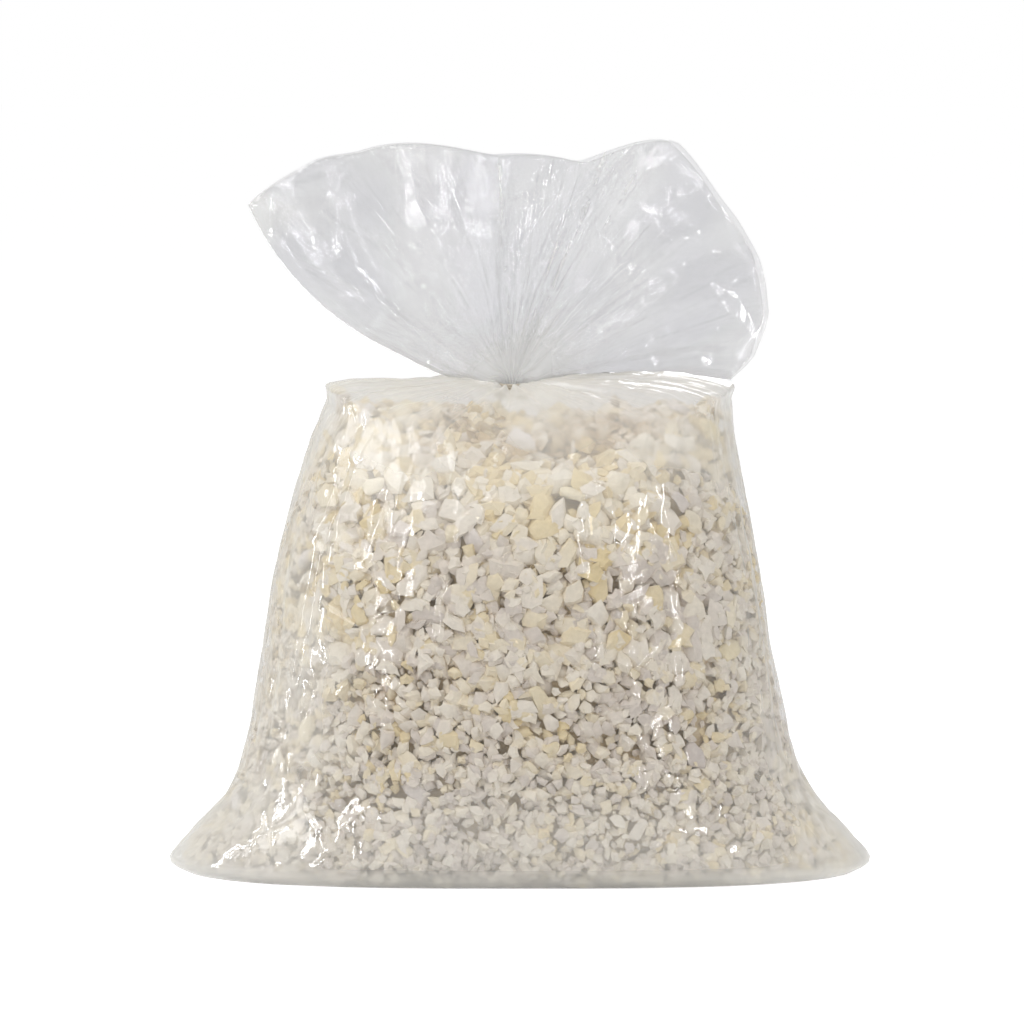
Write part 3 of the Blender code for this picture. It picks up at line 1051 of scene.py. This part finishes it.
        slack = self.slackness(body)
        turned_tip = rise(lean, -49.0, -5.0) * rise(up, 0.84, 0.10)
        clouds = ease(0.5 + noise_at(mouth, 0.045, 6.0))
        milky = 0.85 * ease(1 - up * 3.0) + 0.6 * turned_tip + 0.30 * clouds
        # The gather's lines are strongest in the diagonal band and the middle line, both in bump and in the
        # milky lines that also stand in for glints as painted highlight.
        streaked = np.exp(-(((lean - 22) / 9) ** 2)) + 0.5 * np.exp(-(((lean + 2) / 4) ** 2))
        drawn = (0.08 + 0.55 * rise(t, 5.6, 3.2)) * (1 - 0.7 * rise(t, 9.3, 2))
        fanned = (0.64 + 0.9 * streaked) * ease(up / 0.16)
        inner = 1 + len(base)
        marks = {
            "slack": (1.2, slack, milky),
            "gather": (0.0, drawn, fanned),
            "loose": (0.3, np.clip(1.2 * slack, 0.0, 1.0), np.ones(len(up))),
        }
        for name, (under, on_body, on_mouth) in marks.items():
            store(bag.data, name, np.concatenate((np.full(inner, under), on_body, on_mouth)))
        layer = np.where(np.sin(around) < 0, 0.0, 9.0)
        grain = np.concatenate(
            (
                np.zeros((inner, 3)),
                np.stack((self.gathers * np.cos(angle), self.gathers * np.sin(angle), 0.35 * t), axis=1),
                np.stack((20 + lean / 2.6, layer, 0.9 * up), axis=1),
            )
        )
        held = bag.data.attributes.new("grain", "FLOAT_VECTOR", "POINT")
        held.data.foreach_set("vector", grain.astype(np.float32).ravel())
        bag.data.shade_smooth()
        wall = bag.modifiers.new("wall", "SOLIDIFY")
        wall.thickness = self.thickness
        wall.offset = -1.0
        return bag

    def skin(self, bag: bpy.types.Object) -> BVHTree:
        """The body's outer sheet, for the foam to press against.

        Args:
            bag: The film's object.

        Returns:
            A search tree of its faces.
        """
        mesh = bag.data
        body = 1 + (self.base_rings - 1 + self.body_rings) * self.columns
        faces = [tuple(p.vertices) for p in mesh.polygons if max(p.vertices) < body]
        return BVHTree.FromPolygons([v.co.copy() for v in mesh.vertices], faces)


def shred_mesh(name: str, dice: random.Random, corners: int) -> bpy.types.Mesh:
    """Makes one torn shred about a unit long: a chip with drawn-out corners, bent and twisted.

    Args:
        name: The mesh's name.
        dice: The source of chance.
        corners: How many corners its outline has.

    Returns:
        The mesh, with its flat side across Z.
    """
    width = dice.uniform(0.60, 0.90)
    thick = dice.uniform(0.13, 0.24)
    reach = [dice.uniform(0.34, 0.62) for _ in range(corners)]
    turns = [FULL_TURN * (corner + dice.uniform(-0.28, 0.28)) / corners for corner in range(corners)]
    verts = [(0.0, 0.0, thick * dice.uniform(0.6, 1.2)), (0.0, 0.0, -thick * dice.uniform(0.6, 1.2))]
    for corner, turn in enumerate(turns):
        after = turns[(corner + 1) % corners] + (FULL_TURN if corner == corners - 1 else 0.0)
        between = dice.uniform(0.62, 0.92) * (reach[corner] + reach[(corner + 1) % corners]) / 2
        for angle, far in ((turn, reach[corner]), ((turn + after) / 2, between)):
            level = dice.uniform(-0.05, 0.05)
            verts.append((far * math.cos(angle), far * width * math.sin(angle), level))
        for side in (1.0, -1.0):
            far = reach[corner] * dice.uniform(0.50, 0.68)
            level = side * thick * dice.uniform(0.65, 1.15)
            verts.append((far * math.cos(turn), far * width * math.sin(turn), level))
    faces = []
    for corner in range(corners):
        here = 2 + 4 * corner
        after = 2 + 4 * ((corner + 1) % corners)
        for side, centre in ((2, 0), (3, 1)):
            ring = (
                (here, here + 1, here + side),
                (here + 1, after, after + side),
                (here + 1, after + side, here + side),
                (here + side, after + side, centre),
            )
            faces.extend(ring if centre == 0 else [face[::-1] for face in ring])
    curl = dice.uniform(-0.9, 0.9)
    twist = dice.uniform(-0.9, 0.9)
    bent = [
        Matrix.Rotation(twist * x, 3, "X") @ Vector((x, y, z + curl * (x * x - 0.08))) for x, y, z in verts
    ]
    mesh = bpy.data.meshes.new(name)
    mesh.from_pydata(bent, [], faces)
    return mesh


def press_behind(verts: Array, skin: BVHTree, gap: float, give: float = 0.3) -> tuple[Array, Array]:
    """Moves points that stand outside the film, or too near to it, back to just inside it.

    Args:
        verts: The points, one a row.
        skin: The film's outer sheet.
        gap: How far inside it they end.
        give: The share of its way out that a point sinks further in, so that faces keep some relief.

    Returns:
        The moved points, and how far behind the film each one is.
    """
    reach = 0.03
    moved = verts.copy()
    depths = np.full(len(verts), reach)
    for index, row in enumerate(verts):
        point = Vector(row)
        nearest, normal, _, _ = skin.find_nearest(point, reach)
        if nearest is None:
            continue
        depth = (nearest - point).dot(normal)
        if depth < gap:
            depth = gap + give * (gap - depth)
            moved[index] = nearest - normal * depth
        depths[index] = depth
    return moved, depths


def mark_crevice_shade(mesh: bpy.types.Mesh, depths: Array, level: Array | float) -> None:
    """Gives a mesh of shreds its deep attribute, the mask of its painted shade: 0 on the heap's skin, rising
    in the crevices.

    It rises less near the foot, where the photograph's crevices are pale.

    Args:
        mesh: The mesh.
        depths: How far behind the film each of its points is.
        level: How far behind the film the heap's skin is there.
    """
    places = np.empty(len(mesh.vertices) * 3, np.float32)
    mesh.vertices.foreach_get("co", places)
    most = 0.06 + 0.66 * rise(places[2::3], 0.05, 0.10)
    store(mesh, "deep", most * rise(depths - level, 0.0005, 0.0060))


@dataclass(frozen=True)
class CrumbPatch:
    """One stretch of the heap's skin, and the size of the shreds that lie there.

    It goes from start to end degrees round the bag and from the control ring low to high. The
    shreds' size, the least spacing between them and their depth behind the film are in metres.
    """

    name: str
    start: float
    end: float
    low: float
    high: float
    size: float
    spacing: float
    depth: float
    seed: int


@dataclass
class FoamCrumb:
    """The crumb: thousands of torn shreds laid in layers on the heap, pressed against the film."""

    form: BagForm
    variants: int = 18
    tilt: float = 0.70
    film_gap: float = 0.0005
    floor_gap: float = 0.0008
    ear_slack: float = 0.005
    crown_slack: float = 0.007
    clump_size: float = 0.031
    crevice_depth: float = 0.0045
    sharp: float = 38.0
    heap_top: float = 9.3
    bed_step: float = 0.007
    bed_girth: float = 0.9
    bed_rise: float = 0.055
    room_inner: float = 0.007
    room_fade: float = 0.004
    core_columns: int = 160
    core_rows: int = 90
    core_depth: float = 0.0105
    core_slack: float = 0.012
    core_lump: float = 0.0022
    core_foot: float = 0.003
    seed: int = 5

    def patches(self) -> list[CrumbPatch]:
        """The stretches of the heap: large shreds in the middle, fine crumb low down and at the sides.

        Returns:
            The stretches, in the order they are laid.
        """
        made = []
        quarters = (("front", -135, -45), ("right", -45, 45), ("back", 45, 135), ("left", 135, 225))
        for index, (side, start, end) in enumerate(quarters):
            big = 0.0165 if side in ("front", "back") else 0.0140
            layers = (
                ("low", 0.0, 3.3, 0.0104, 0.0028, 0.0042),
                ("middle", 3.2, 5.2, big * 0.82, 0.0038, 0.0058),
                ("high", 5.1, 7.6, big, 0.0050, 0.0072),
            )
            for number, (layer, *sizes) in enumerate(layers, 1):
                made.append(CrumbPatch(f"{side}_{layer}", start, end, *sizes, 100 * (index + 1) + number))
        made.append(CrumbPatch("top", 0, 360, 7.4, self.heap_top, 0.0170, 0.0060, 0.0120, 901))
        made.append(CrumbPatch("front_large", -150, -30, 4.2, 7.4, 0.0230, 0.0115, 0.0055, 902))
        return made

    def forms(self) -> bpy.types.Collection:
        """The shred shapes that the layers pick from.

        Returns:
            A collection of unit-long shreds.
        """
        dice = random.Random(self.seed)
        kept = bpy.data.collections.new("shred_forms")
        for index in range(self.variants):
            mesh = shred_mesh(f"shred_form_{index:02d}", dice, 3 + index % 3)
            kept.objects.link(bpy.data.objects.new(mesh.name, mesh))
        return kept

    def bed(self, patch: CrumbPatch, rooms: list[Vector]) -> bpy.types.Object:
        """The surface on which a patch's shreds are laid.

        Args:
            patch: The stretch of the heap.
            rooms: The middles of the larger shreds, round which none are laid.

        Returns:
            A scratch object. Its room attribute is 0 where a larger shred lies, and its level
            attribute is how far behind the film the heap's skin is.
        """
        columns = max(int(self.bed_girth * (patch.end - patch.start) / 360 / self.bed_step), 8)
        rows = max(int((patch.high - patch.low) * self.bed_rise / self.bed_step), 4)
        t = np.repeat(np.linspace(patch.low, patch.high, rows + 1), columns + 1)
        angle = np.tile(np.radians(np.linspace(patch.start, patch.end, columns + 1)), rows + 1)
        side = self.ear_slack * (1 - rise(t, 1, 3))
        slack = self.crown_slack * rise(t, 5, 2)
        dips = self.crevice_depth * crevices_at(self.form.body(t, angle), self.clump_size)
        verts = self.form.body(t, angle, patch.depth + slack + dips, side)
        verts[:, 2] = np.maximum(verts[:, 2], 0.6 * patch.depth)
        faces = []
        for row in range(rows):
            for column in range(columns):
                corner = row * (columns + 1) + column
                faces.append((corner, corner + 1, corner + columns + 2, corner + columns + 1))
        room = np.ones(len(verts))
        for middle in rooms:
            away = np.linalg.norm(verts - np.array(middle), axis=1)
            room = np.minimum(room, rise(away, self.room_inner, self.room_fade))
        made = new_object("bed", verts, faces)
        store(made.data, "room", room)
        store(made.data, "level", patch.depth + slack + side * np.abs(np.cos(angle)))
        return made

    def tree(self, forms: bpy.types.Collection, finish: bpy.types.Material) -> Tree:
        """The node group that lays shreds on a surface.

        Args:
            forms: The shred shapes to pick from.
            finish: The foam's material.

        Returns:
            The node group, with Spacing, Size, Tilt and Seed inputs.
        """
        tree = bpy.data.node_groups.new("laid_shreds", "GeometryNodeTree")
        sockets = (
            ("Geometry", "NodeSocketGeometry"),
            ("Spacing", "NodeSocketFloat"),
            ("Size", "NodeSocketFloat"),
            ("Tilt", "NodeSocketFloat"),
            ("Seed", "NodeSocketInt"),
        )
        for name, kind in sockets:
            tree.interface.new_socket(name, in_out="INPUT", socket_type=kind)
        tree.interface.new_socket("Geometry", in_out="OUTPUT", socket_type="NodeSocketGeometry")
        given = add_node(tree, "NodeGroupInput").outputs
        room = add_node(tree, "GeometryNodeInputNamedAttribute", {"Name": "room"}, data_type="FLOAT")
        points = add_node(
            tree,
            "GeometryNodeDistributePointsOnFaces",
            {
                "Mesh": given["Geometry"],
                "Distance Min": given["Spacing"],
                "Density Max": 90000.0,
                "Density Factor": room.outputs["Attribute"],
                "Seed": given["Seed"],
            },
            distribute_method="POISSON",
        )
        lift = add_node(
            tree, "FunctionNodeRandomValue", {2: -0.0035, 3: 0.0018, "Seed": given["Seed"]}, data_type="FLOAT"
        )
        offset = add_node(
            tree,
            "ShaderNodeVectorMath",
            {0: points.outputs["Normal"], "Scale": lift.outputs[1]},
            operation="SCALE",
        )
        moved = add_node(
            tree,
            "GeometryNodeSetPosition",
            {"Geometry": points.outputs["Points"], "Offset": offset.outputs["Vector"]},
        )
        shapes = add_node(
            tree,
            "GeometryNodeCollectionInfo",
            {"Collection": forms, "Separate Children": True, "Reset Children": True},
        )
        spread = add_node(tree, "FunctionNodeRandomValue", {2: 0.55, 3: 1.35, "ID": 11}, data_type="FLOAT")
        scale = maths(tree, "MULTIPLY", given["Size"], spread.outputs[1])
        placed = add_node(
            tree,
            "GeometryNodeInstanceOnPoints",
            {
                "Points": moved.outputs["Geometry"],
                "Instance": shapes.outputs["Instances"],
                "Pick Instance": True,
                "Rotation": points.outputs["Rotation"],
                "Scale": scale,
            },
        )
        least = maths(tree, "MULTIPLY", given["Tilt"], -1.0)
        low = add_node(tree, "ShaderNodeCombineXYZ", {"X": least, "Y": least, "Z": 0.0})
        high = add_node(
            tree, "ShaderNodeCombineXYZ", {"X": given["Tilt"], "Y": given["Tilt"], "Z": FULL_TURN}
        )
        turn = add_node(
            tree,
            "FunctionNodeRandomValue",
            {0: low.outputs["Vector"], 1: high.outputs["Vector"], "Seed": 3},
            data_type="FLOAT_VECTOR",
        )
        turned = add_node(
            tree,
            "GeometryNodeRotateInstances",
            {"Instances": placed.outputs["Instances"], "Rotation": turn.outputs[0], "Local Space": True},
        )
        tint = add_node(tree, "FunctionNodeRandomValue", {2: 0.0, 3: 1.0, "Seed": 8}, data_type="FLOAT")
        kept = add_node(
            tree,
            "GeometryNodeStoreNamedAttribute",
            {"Geometry": turned.outputs["Instances"], "Name": "tint", "Value": tint.outputs[1]},
            data_type="FLOAT",
            domain="INSTANCE",
        )
        real = add_node(tree, "GeometryNodeRealizeInstances", {"Geometry": kept.outputs["Geometry"]})
        dressed = add_node(
            tree, "GeometryNodeSetMaterial", {"Geometry": real.outputs["Geometry"], "Material": finish}
        )
        add_node(tree, "NodeGroupOutput", {"Geometry": dressed.outputs["Geometry"]})
        return tree

    def lay(self, patch: CrumbPatch, tree: Tree, rooms: list[Vector], skin: BVHTree) -> bpy.types.Object:
        """Lays the shreds of one patch and presses them behind the film.

        Args:
            patch: The stretch of the heap.
            tree: The node group that lays shreds.
            rooms: The middles of the larger shreds.
            skin: The film's outer sheet.

        Returns:
            The patch's shreds as one plain mesh.
        """
        bed = self.bed(patch, rooms)
        modifier = bed.modifiers.new("laid_shreds", "NODES")
        modifier.node_group = tree
        values = {"Spacing": patch.spacing, "Size": patch.size, "Tilt": self.tilt, "Seed": patch.seed}
        for item in tree.interface.items_tree:
            if item.in_out == "INPUT" and item.name in values:
                modifier[item.identifier] = values[item.name]
        graph = bpy.context.evaluated_depsgraph_get()
        mesh = bpy.data.meshes.new_from_object(bed.evaluated_get(graph), depsgraph=graph)
        mesh.name = f"foam_crumb_{patch.name}"
        bpy.data.objects.remove(bed)
        level = np.empty(len(mesh.vertices), np.float32)
        mesh.attributes["level"].data.foreach_get("value", level)
        places = np.empty(len(mesh.vertices) * 3)
        mesh.vertices.foreach_get("co", places)
        places, depths = press_behind(places.reshape(-1, 3), skin, self.film_gap)
        places[:, 2] = np.maximum(places[:, 2], self.floor_gap)
        mesh.vertices.foreach_set("co", places.ravel())
        mark_crevice_shade(mesh, depths, level)
        mesh.update()
        soften(mesh, self.sharp)
        return add_object(mesh.name, mesh)

    def core(self, finish: bpy.types.Material) -> bpy.types.Object:
        """The deep of the heap, coloured brown as painted shade where it shows between the shreds.

        Args:
            finish: The deep foam's material.

        Returns:
            The core's object.
        """
        columns = self.core_columns
        rows = self.core_rows
        t = np.repeat(np.linspace(0.0, self.heap_top, rows), columns)
        angle = np.tile(np.linspace(0.0, FULL_TURN, columns, endpoint=False), rows)
        side = self.ear_slack * 1.8 * (1 - rise(t, 1, 3))
        slack = self.core_slack * rise(t, 5, 2)
        verts = self.form.body(t, angle, self.core_depth + slack, side)
        lumps = noise_at(verts, 0.012) + 0.5 * noise_at(verts, 0.006, 2.0)
        verts -= self.form.normal(t, angle) * (self.core_lump * (1 + lumps))[:, None]
        verts[:, 2] = np.maximum(verts[:, 2], self.core_foot)
        top = len(verts)
        verts = np.concatenate((verts, (verts[:columns].mean(0), verts[-columns:].mean(0))))
        faces = tube_faces(rows, columns)
        for i in range(columns):
            j = (i + 1) % columns
            faces += [(top, j, i), (top + 1, top - columns + i, top - columns + j)]
        made = new_object("foam_heap_core", verts, faces, finish)
        made.data.shade_smooth()
        return made


@dataclass
class LooseShreds:
    """The larger shreds that lie loose against the film, one for each solid of the frame."""

    film_gap: float = 0.0004
    rough: float = 0.0016
    large_dent: float = 0.010
    small_dent: float = 0.0035
    softness: float = 0.12
    shrink: float = 0.97
    sharp: float = 30.0
    level: float = 0.006
    tint_step: float = 0.618

    def nodes(self) -> list[str]:
        """The frame's shred nodes, in order."""
        return sorted(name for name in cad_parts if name.startswith("foam_shred_"))

    def middles(self) -> list[Vector]:
        """The middle of each shred's box."""
        boxes = [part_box(name) for name in self.nodes()]
        return [(low + high) / 2 for low, high in boxes]

    def build(self, index: int, node: str, finish: bpy.types.Material, skin: BVHTree) -> bpy.types.Object:
        """Makes a torn copy of one solid, its facets softened and dented.

        Args:
            index: The shred's number.
            node: The frame's node that it stands for.
            finish: Its foam.
            skin: The film's outer sheet.

        Returns:
            The shred's object.
        """
        bm = bmesh.new()
        bm.from_mesh(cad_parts[node].data)
        bmesh.ops.remove_doubles(bm, verts=bm.verts, dist=1e-5)
        bmesh.ops.subdivide_edges(bm, edges=bm.edges, cuts=2, use_grid_fill=True, smooth=self.softness)
        bmesh.ops.triangulate(bm, faces=bm.faces)
        bm.normal_update()
        middle = sum((v.co for v in bm.verts), Vector()) / len(bm.verts)
        shift = Vector((index, 2.0 * index, 0.0))
        pushes = []
        for vert in bm.verts:
            large = noise.noise(vert.co / self.large_dent + shift)
            small = noise.noise(vert.co / self.small_dent + shift)
            pushes.append(vert.normal * self.rough * (1.6 * large + 0.6 * small - 0.3))
        for vert, push in zip(bm.verts, pushes):
            vert.co += push
            vert.co = middle + (vert.co - middle) * self.shrink
        mesh = bpy.data.meshes.new(f"torn_shred_{index + 1:02d}")
        bm.to_mesh(mesh)
        bm.free()
        places, depths = press_behind(np.array([v.co for v in mesh.vertices]), skin, self.film_gap)
        mesh.vertices.foreach_set("co", places.ravel())
        mesh.update()
        soften(mesh, self.sharp)
        mark_crevice_shade(mesh, depths, self.level)
        store(mesh, "tint", np.full(len(mesh.vertices), (index * self.tint_step) % 1.0))
        mesh.materials.clear()
        mesh.materials.append(finish)
        return add_object(mesh.name, mesh)


@dataclass
class NeckBand:
    """The rubber band: three turns of one flat-cut loop wound round the gather."""

    form: BagForm
    turns: int = 3
    thickness: float = 0.0017
    gap: float = 0.0003
    segments: int = 96
    sides: int = 14

    def build(self, finish: bpy.types.Material) -> bpy.types.Object:
        """Makes the turns, each a ring that wanders a little.

        Args:
            finish: The band's rubber.

        Returns:
            The band's object.
        """
        radius = self.thickness / 2
        middle = self.form.neck_diameter / 2 + self.gap + radius
        bottom = self.form.neck_height + self.form.neck_length * 5 / 8 - self.turns * radius
        verts = []
        faces = []
        for turn in range(self.turns):
            height = bottom + radius * (2 * turn + 1)
            first = len(verts)
            for step in range(self.segments):
                along = FULL_TURN * step / self.segments
                sway = 0.00012 * math.sin(3 * along + 2.1 * turn)
                for side in range(self.sides):
                    around = FULL_TURN * side / self.sides
                    out = middle + 0.92 * radius * math.cos(around) + 0.5 * sway
                    up = height + 0.97 * radius * math.sin(around) + sway
                    verts.append((self.form.neck_x + out * math.cos(along), out * math.sin(along), up))
            for step in range(self.segments):
                for side in range(self.sides):
                    here = first + step * self.sides
                    after = first + (step + 1) % self.segments * self.sides
                    beside = (side + 1) % self.sides
                    faces.append((here + side, after + side, after + beside, here + beside))
        made = new_object("rubber_neck_band", verts, faces, finish)
        made.data.shade_smooth()
        return made


class Lamp(NamedTuple):
    """An area lamp: its place and size in metres, its power in watts, and what it does."""

    name: str
    place: tuple[float, float, float]
    size: tuple[float, float]
    power: float
    lights: bool = True
    reflects: bool = True


# A large soft lamp from the upper left, a weaker one from the right and one above. The streak
# lamps light nothing: they only show as bright streaks in the film.
LAMPS = (
    Lamp("key", (-1.5, -1.0, 1.6), (1.6, 1.6), 33.0),
    Lamp("fill", (1.5, -1.2, 0.9), (1.2, 1.2), 13.5, reflects=False),
    Lamp("top", (0.1, 0.3, 2.0), (1.2, 1.2), 14.0, reflects=False),
    Lamp("streak_side", (-1.6, -0.15, 0.7), (0.06, 1.3), 8.0, lights=False),
    Lamp("streak_left", (-1.00, -1.25, 0.56), (0.05, 1.0), 9.0, lights=False),
    Lamp("streak_right", (0.95, -1.30, 0.60), (0.05, 1.0), 9.0, lights=False),
    Lamp("streak_back", (0.35, 1.6, 0.9), (0.4, 1.0), 28.0, lights=False),
)


@dataclass
class Studio:
    """The pale floor, the plain light and the camera at the photograph's angle."""

    focal_mm: float = 200.0
    sensor_mm: float = 36.0
    distance: float = 3.698
    elevation: float = 5.0
    aim: tuple[float, float, float] = (-0.0052, 0.0, 0.2316)
    lit: tuple[float, float, float] = (0.0, 0.0, 0.2)
    ambient: float = 0.57
    seen: float = 1.0
    reflected: float = 0.55
    floor_glow: float = 0.55
    floor_half: float = 30.0
    floor_drop: float = 0.0004

    def world(self) -> None:
        """A plain pale world, which the camera sees as white and reflections as nearly white."""
        world = bpy.data.worlds.new("pale_studio")
        bpy.context.scene.world = world
        world.use_nodes = True
        tree = world.node_tree
        tree.nodes.clear()
        path = add_node(tree, "ShaderNodeLightPath").outputs
        shine = maths(tree, "MULTIPLY_ADD", path["Is Glossy Ray"], self.reflected, path["Is Camera Ray"])
        direct = maths(tree, "ADD", shine, path["Is Transmission Ray"], clamp=True)
        white = srgb("#FFFFFF")
        lights = [
            add_node(tree, "ShaderNodeBackground", {"Color": white, "Strength": strength}).outputs[0]
            for strength in (self.ambient, self.seen)
        ]
        add_node(tree, "ShaderNodeOutputWorld", {"Surface": mixed(tree, direct, *lights)})

    def floor(self) -> bpy.types.Object:
        """The floor: white to the camera, with the object's soft shadow.

        Returns:
            The floor's object.
        """
        made, tree, surface = new_material("pale_floor")
        path = add_node(tree, "ShaderNodeLightPath").outputs
        matt = shader_of(tree, "Diffuse", {"Color": srgb("#E6E6E6")})
        none, glow = [
            add_node(tree, "ShaderNodeEmission", {"Color": srgb("#FFFFFF"), "Strength": strength}).outputs[0]
            for strength in (0.0, self.floor_glow)
        ]
        seen = maths(tree, "MAXIMUM", path["Is Camera Ray"], path["Is Glossy Ray"])
        both = add_node(tree, "ShaderNodeAddShader", {0: matt, 1: mixed(tree, seen, none, glow)})
        tree.links.new(both.outputs[0], surface)
        half = self.floor_half
        sides = ((-half, -half), (half, -half), (half, half), (-half, half))
        corners = [(x, y, -self.floor_drop) for x, y in sides]
        return new_object("pale_floor", corners, [(0, 1, 2, 3)], made)

    def lamps(self) -> None:
        """Hangs the lamps, each facing the bag's middle."""
        for lamp in LAMPS:
            data = bpy.data.lights.new(lamp.name, "AREA")
            data.shape = "RECTANGLE"
            data.size, data.size_y = lamp.size
            data.energy = lamp.power
            made = add_object(lamp.name, data)
            place = Vector(lamp.place)
            made.location = place
            made.rotation_euler = (Vector(self.lit) - place).to_track_quat("-Z", "Y").to_euler()
            made.visible_camera = False
            made.visible_diffuse = lamp.lights
            made.visible_glossy = lamp.reflects

    def camera(self) -> None:
        """The camera, at the photograph's angle and frame."""
        data = bpy.data.cameras.new("camera")
        data.lens = self.focal_mm
        data.sensor_width = self.sensor_mm
        aim = Vector(self.aim)
        lift = math.radians(self.elevation)
        made = add_object("camera", data)
        made.location = aim + self.distance * Vector((0.0, -math.cos(lift), math.sin(lift)))
        made.rotation_euler = (aim - made.location).to_track_quat("-Z", "Y").to_euler()
        bpy.context.scene.camera = made


def main() -> None:
    """Builds the studio and each sub-assembly, and reports each piece."""
    logging.basicConfig(level=logging.INFO, format="%(message)s")
    bpy.context.scene.view_settings.view_transform = "Standard"
    studio = Studio()
    studio.camera()
    studio.world()
    studio.lamps()
    studio.floor()

    form = BagForm()
    film = FilmBag(form)
    bag = film.build(ClearFilm().make())
    skin = film.skin(bag)
    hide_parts("film_bag")
    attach(bag, "root")
    log.info("%s: %d faces", bag.name, len(bag.data.polygons))

    band = NeckBand(form).build(NaturalRubber().make())
    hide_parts("neck_band")
    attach(band, "root")
    log.info("%s: %d faces", band.name, len(band.data.polygons))

    finishes = {
        Foam.CREAM: TornFoam("torn_cream_foam", ("#ECE2D0", "#F1E9DA", "#E9DEC8")).make(),
        Foam.YELLOW: TornFoam("torn_yellow_foam", ("#EDDFBC", "#F0E5CA", "#E8D6A8")).make(),
        Foam.GREY: TornFoam("torn_grey_foam", ("#DDD3C8", "#E4DBD0", "#D5CABF")).make(),
    }
    loose = LooseShreds()
    for index, node in enumerate(loose.nodes()):
        foam = list(Foam)[index % len(Foam)]
        shred = loose.build(index, node, finishes[foam], skin)
        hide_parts(node)
        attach(shred, "root")
    log.info("%d loose shreds", len(loose.nodes()))

    crumb = FoamCrumb(form)
    mixed_foam = TornFoam(
        "torn_mixed_foam",
        ("#DBD0C2", "#E5DACA", "#ECE2D0", "#F1E8D6", "#F0E5CE", "#EDDFBF", "#E7D3A4"),
    ).make()
    tree = crumb.tree(crumb.forms(), mixed_foam)
    core = crumb.core(PaintedShadeFoam().make())
    pieces = [core] + [crumb.lay(patch, tree, loose.middles(), skin) for patch in crumb.patches()]
    for piece in pieces:
        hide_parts("foam_fill")
        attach(piece, "root")
        log.info("%s: %d faces", piece.name, len(piece.data.polygons))


if __name__ == "__main__":
    main()
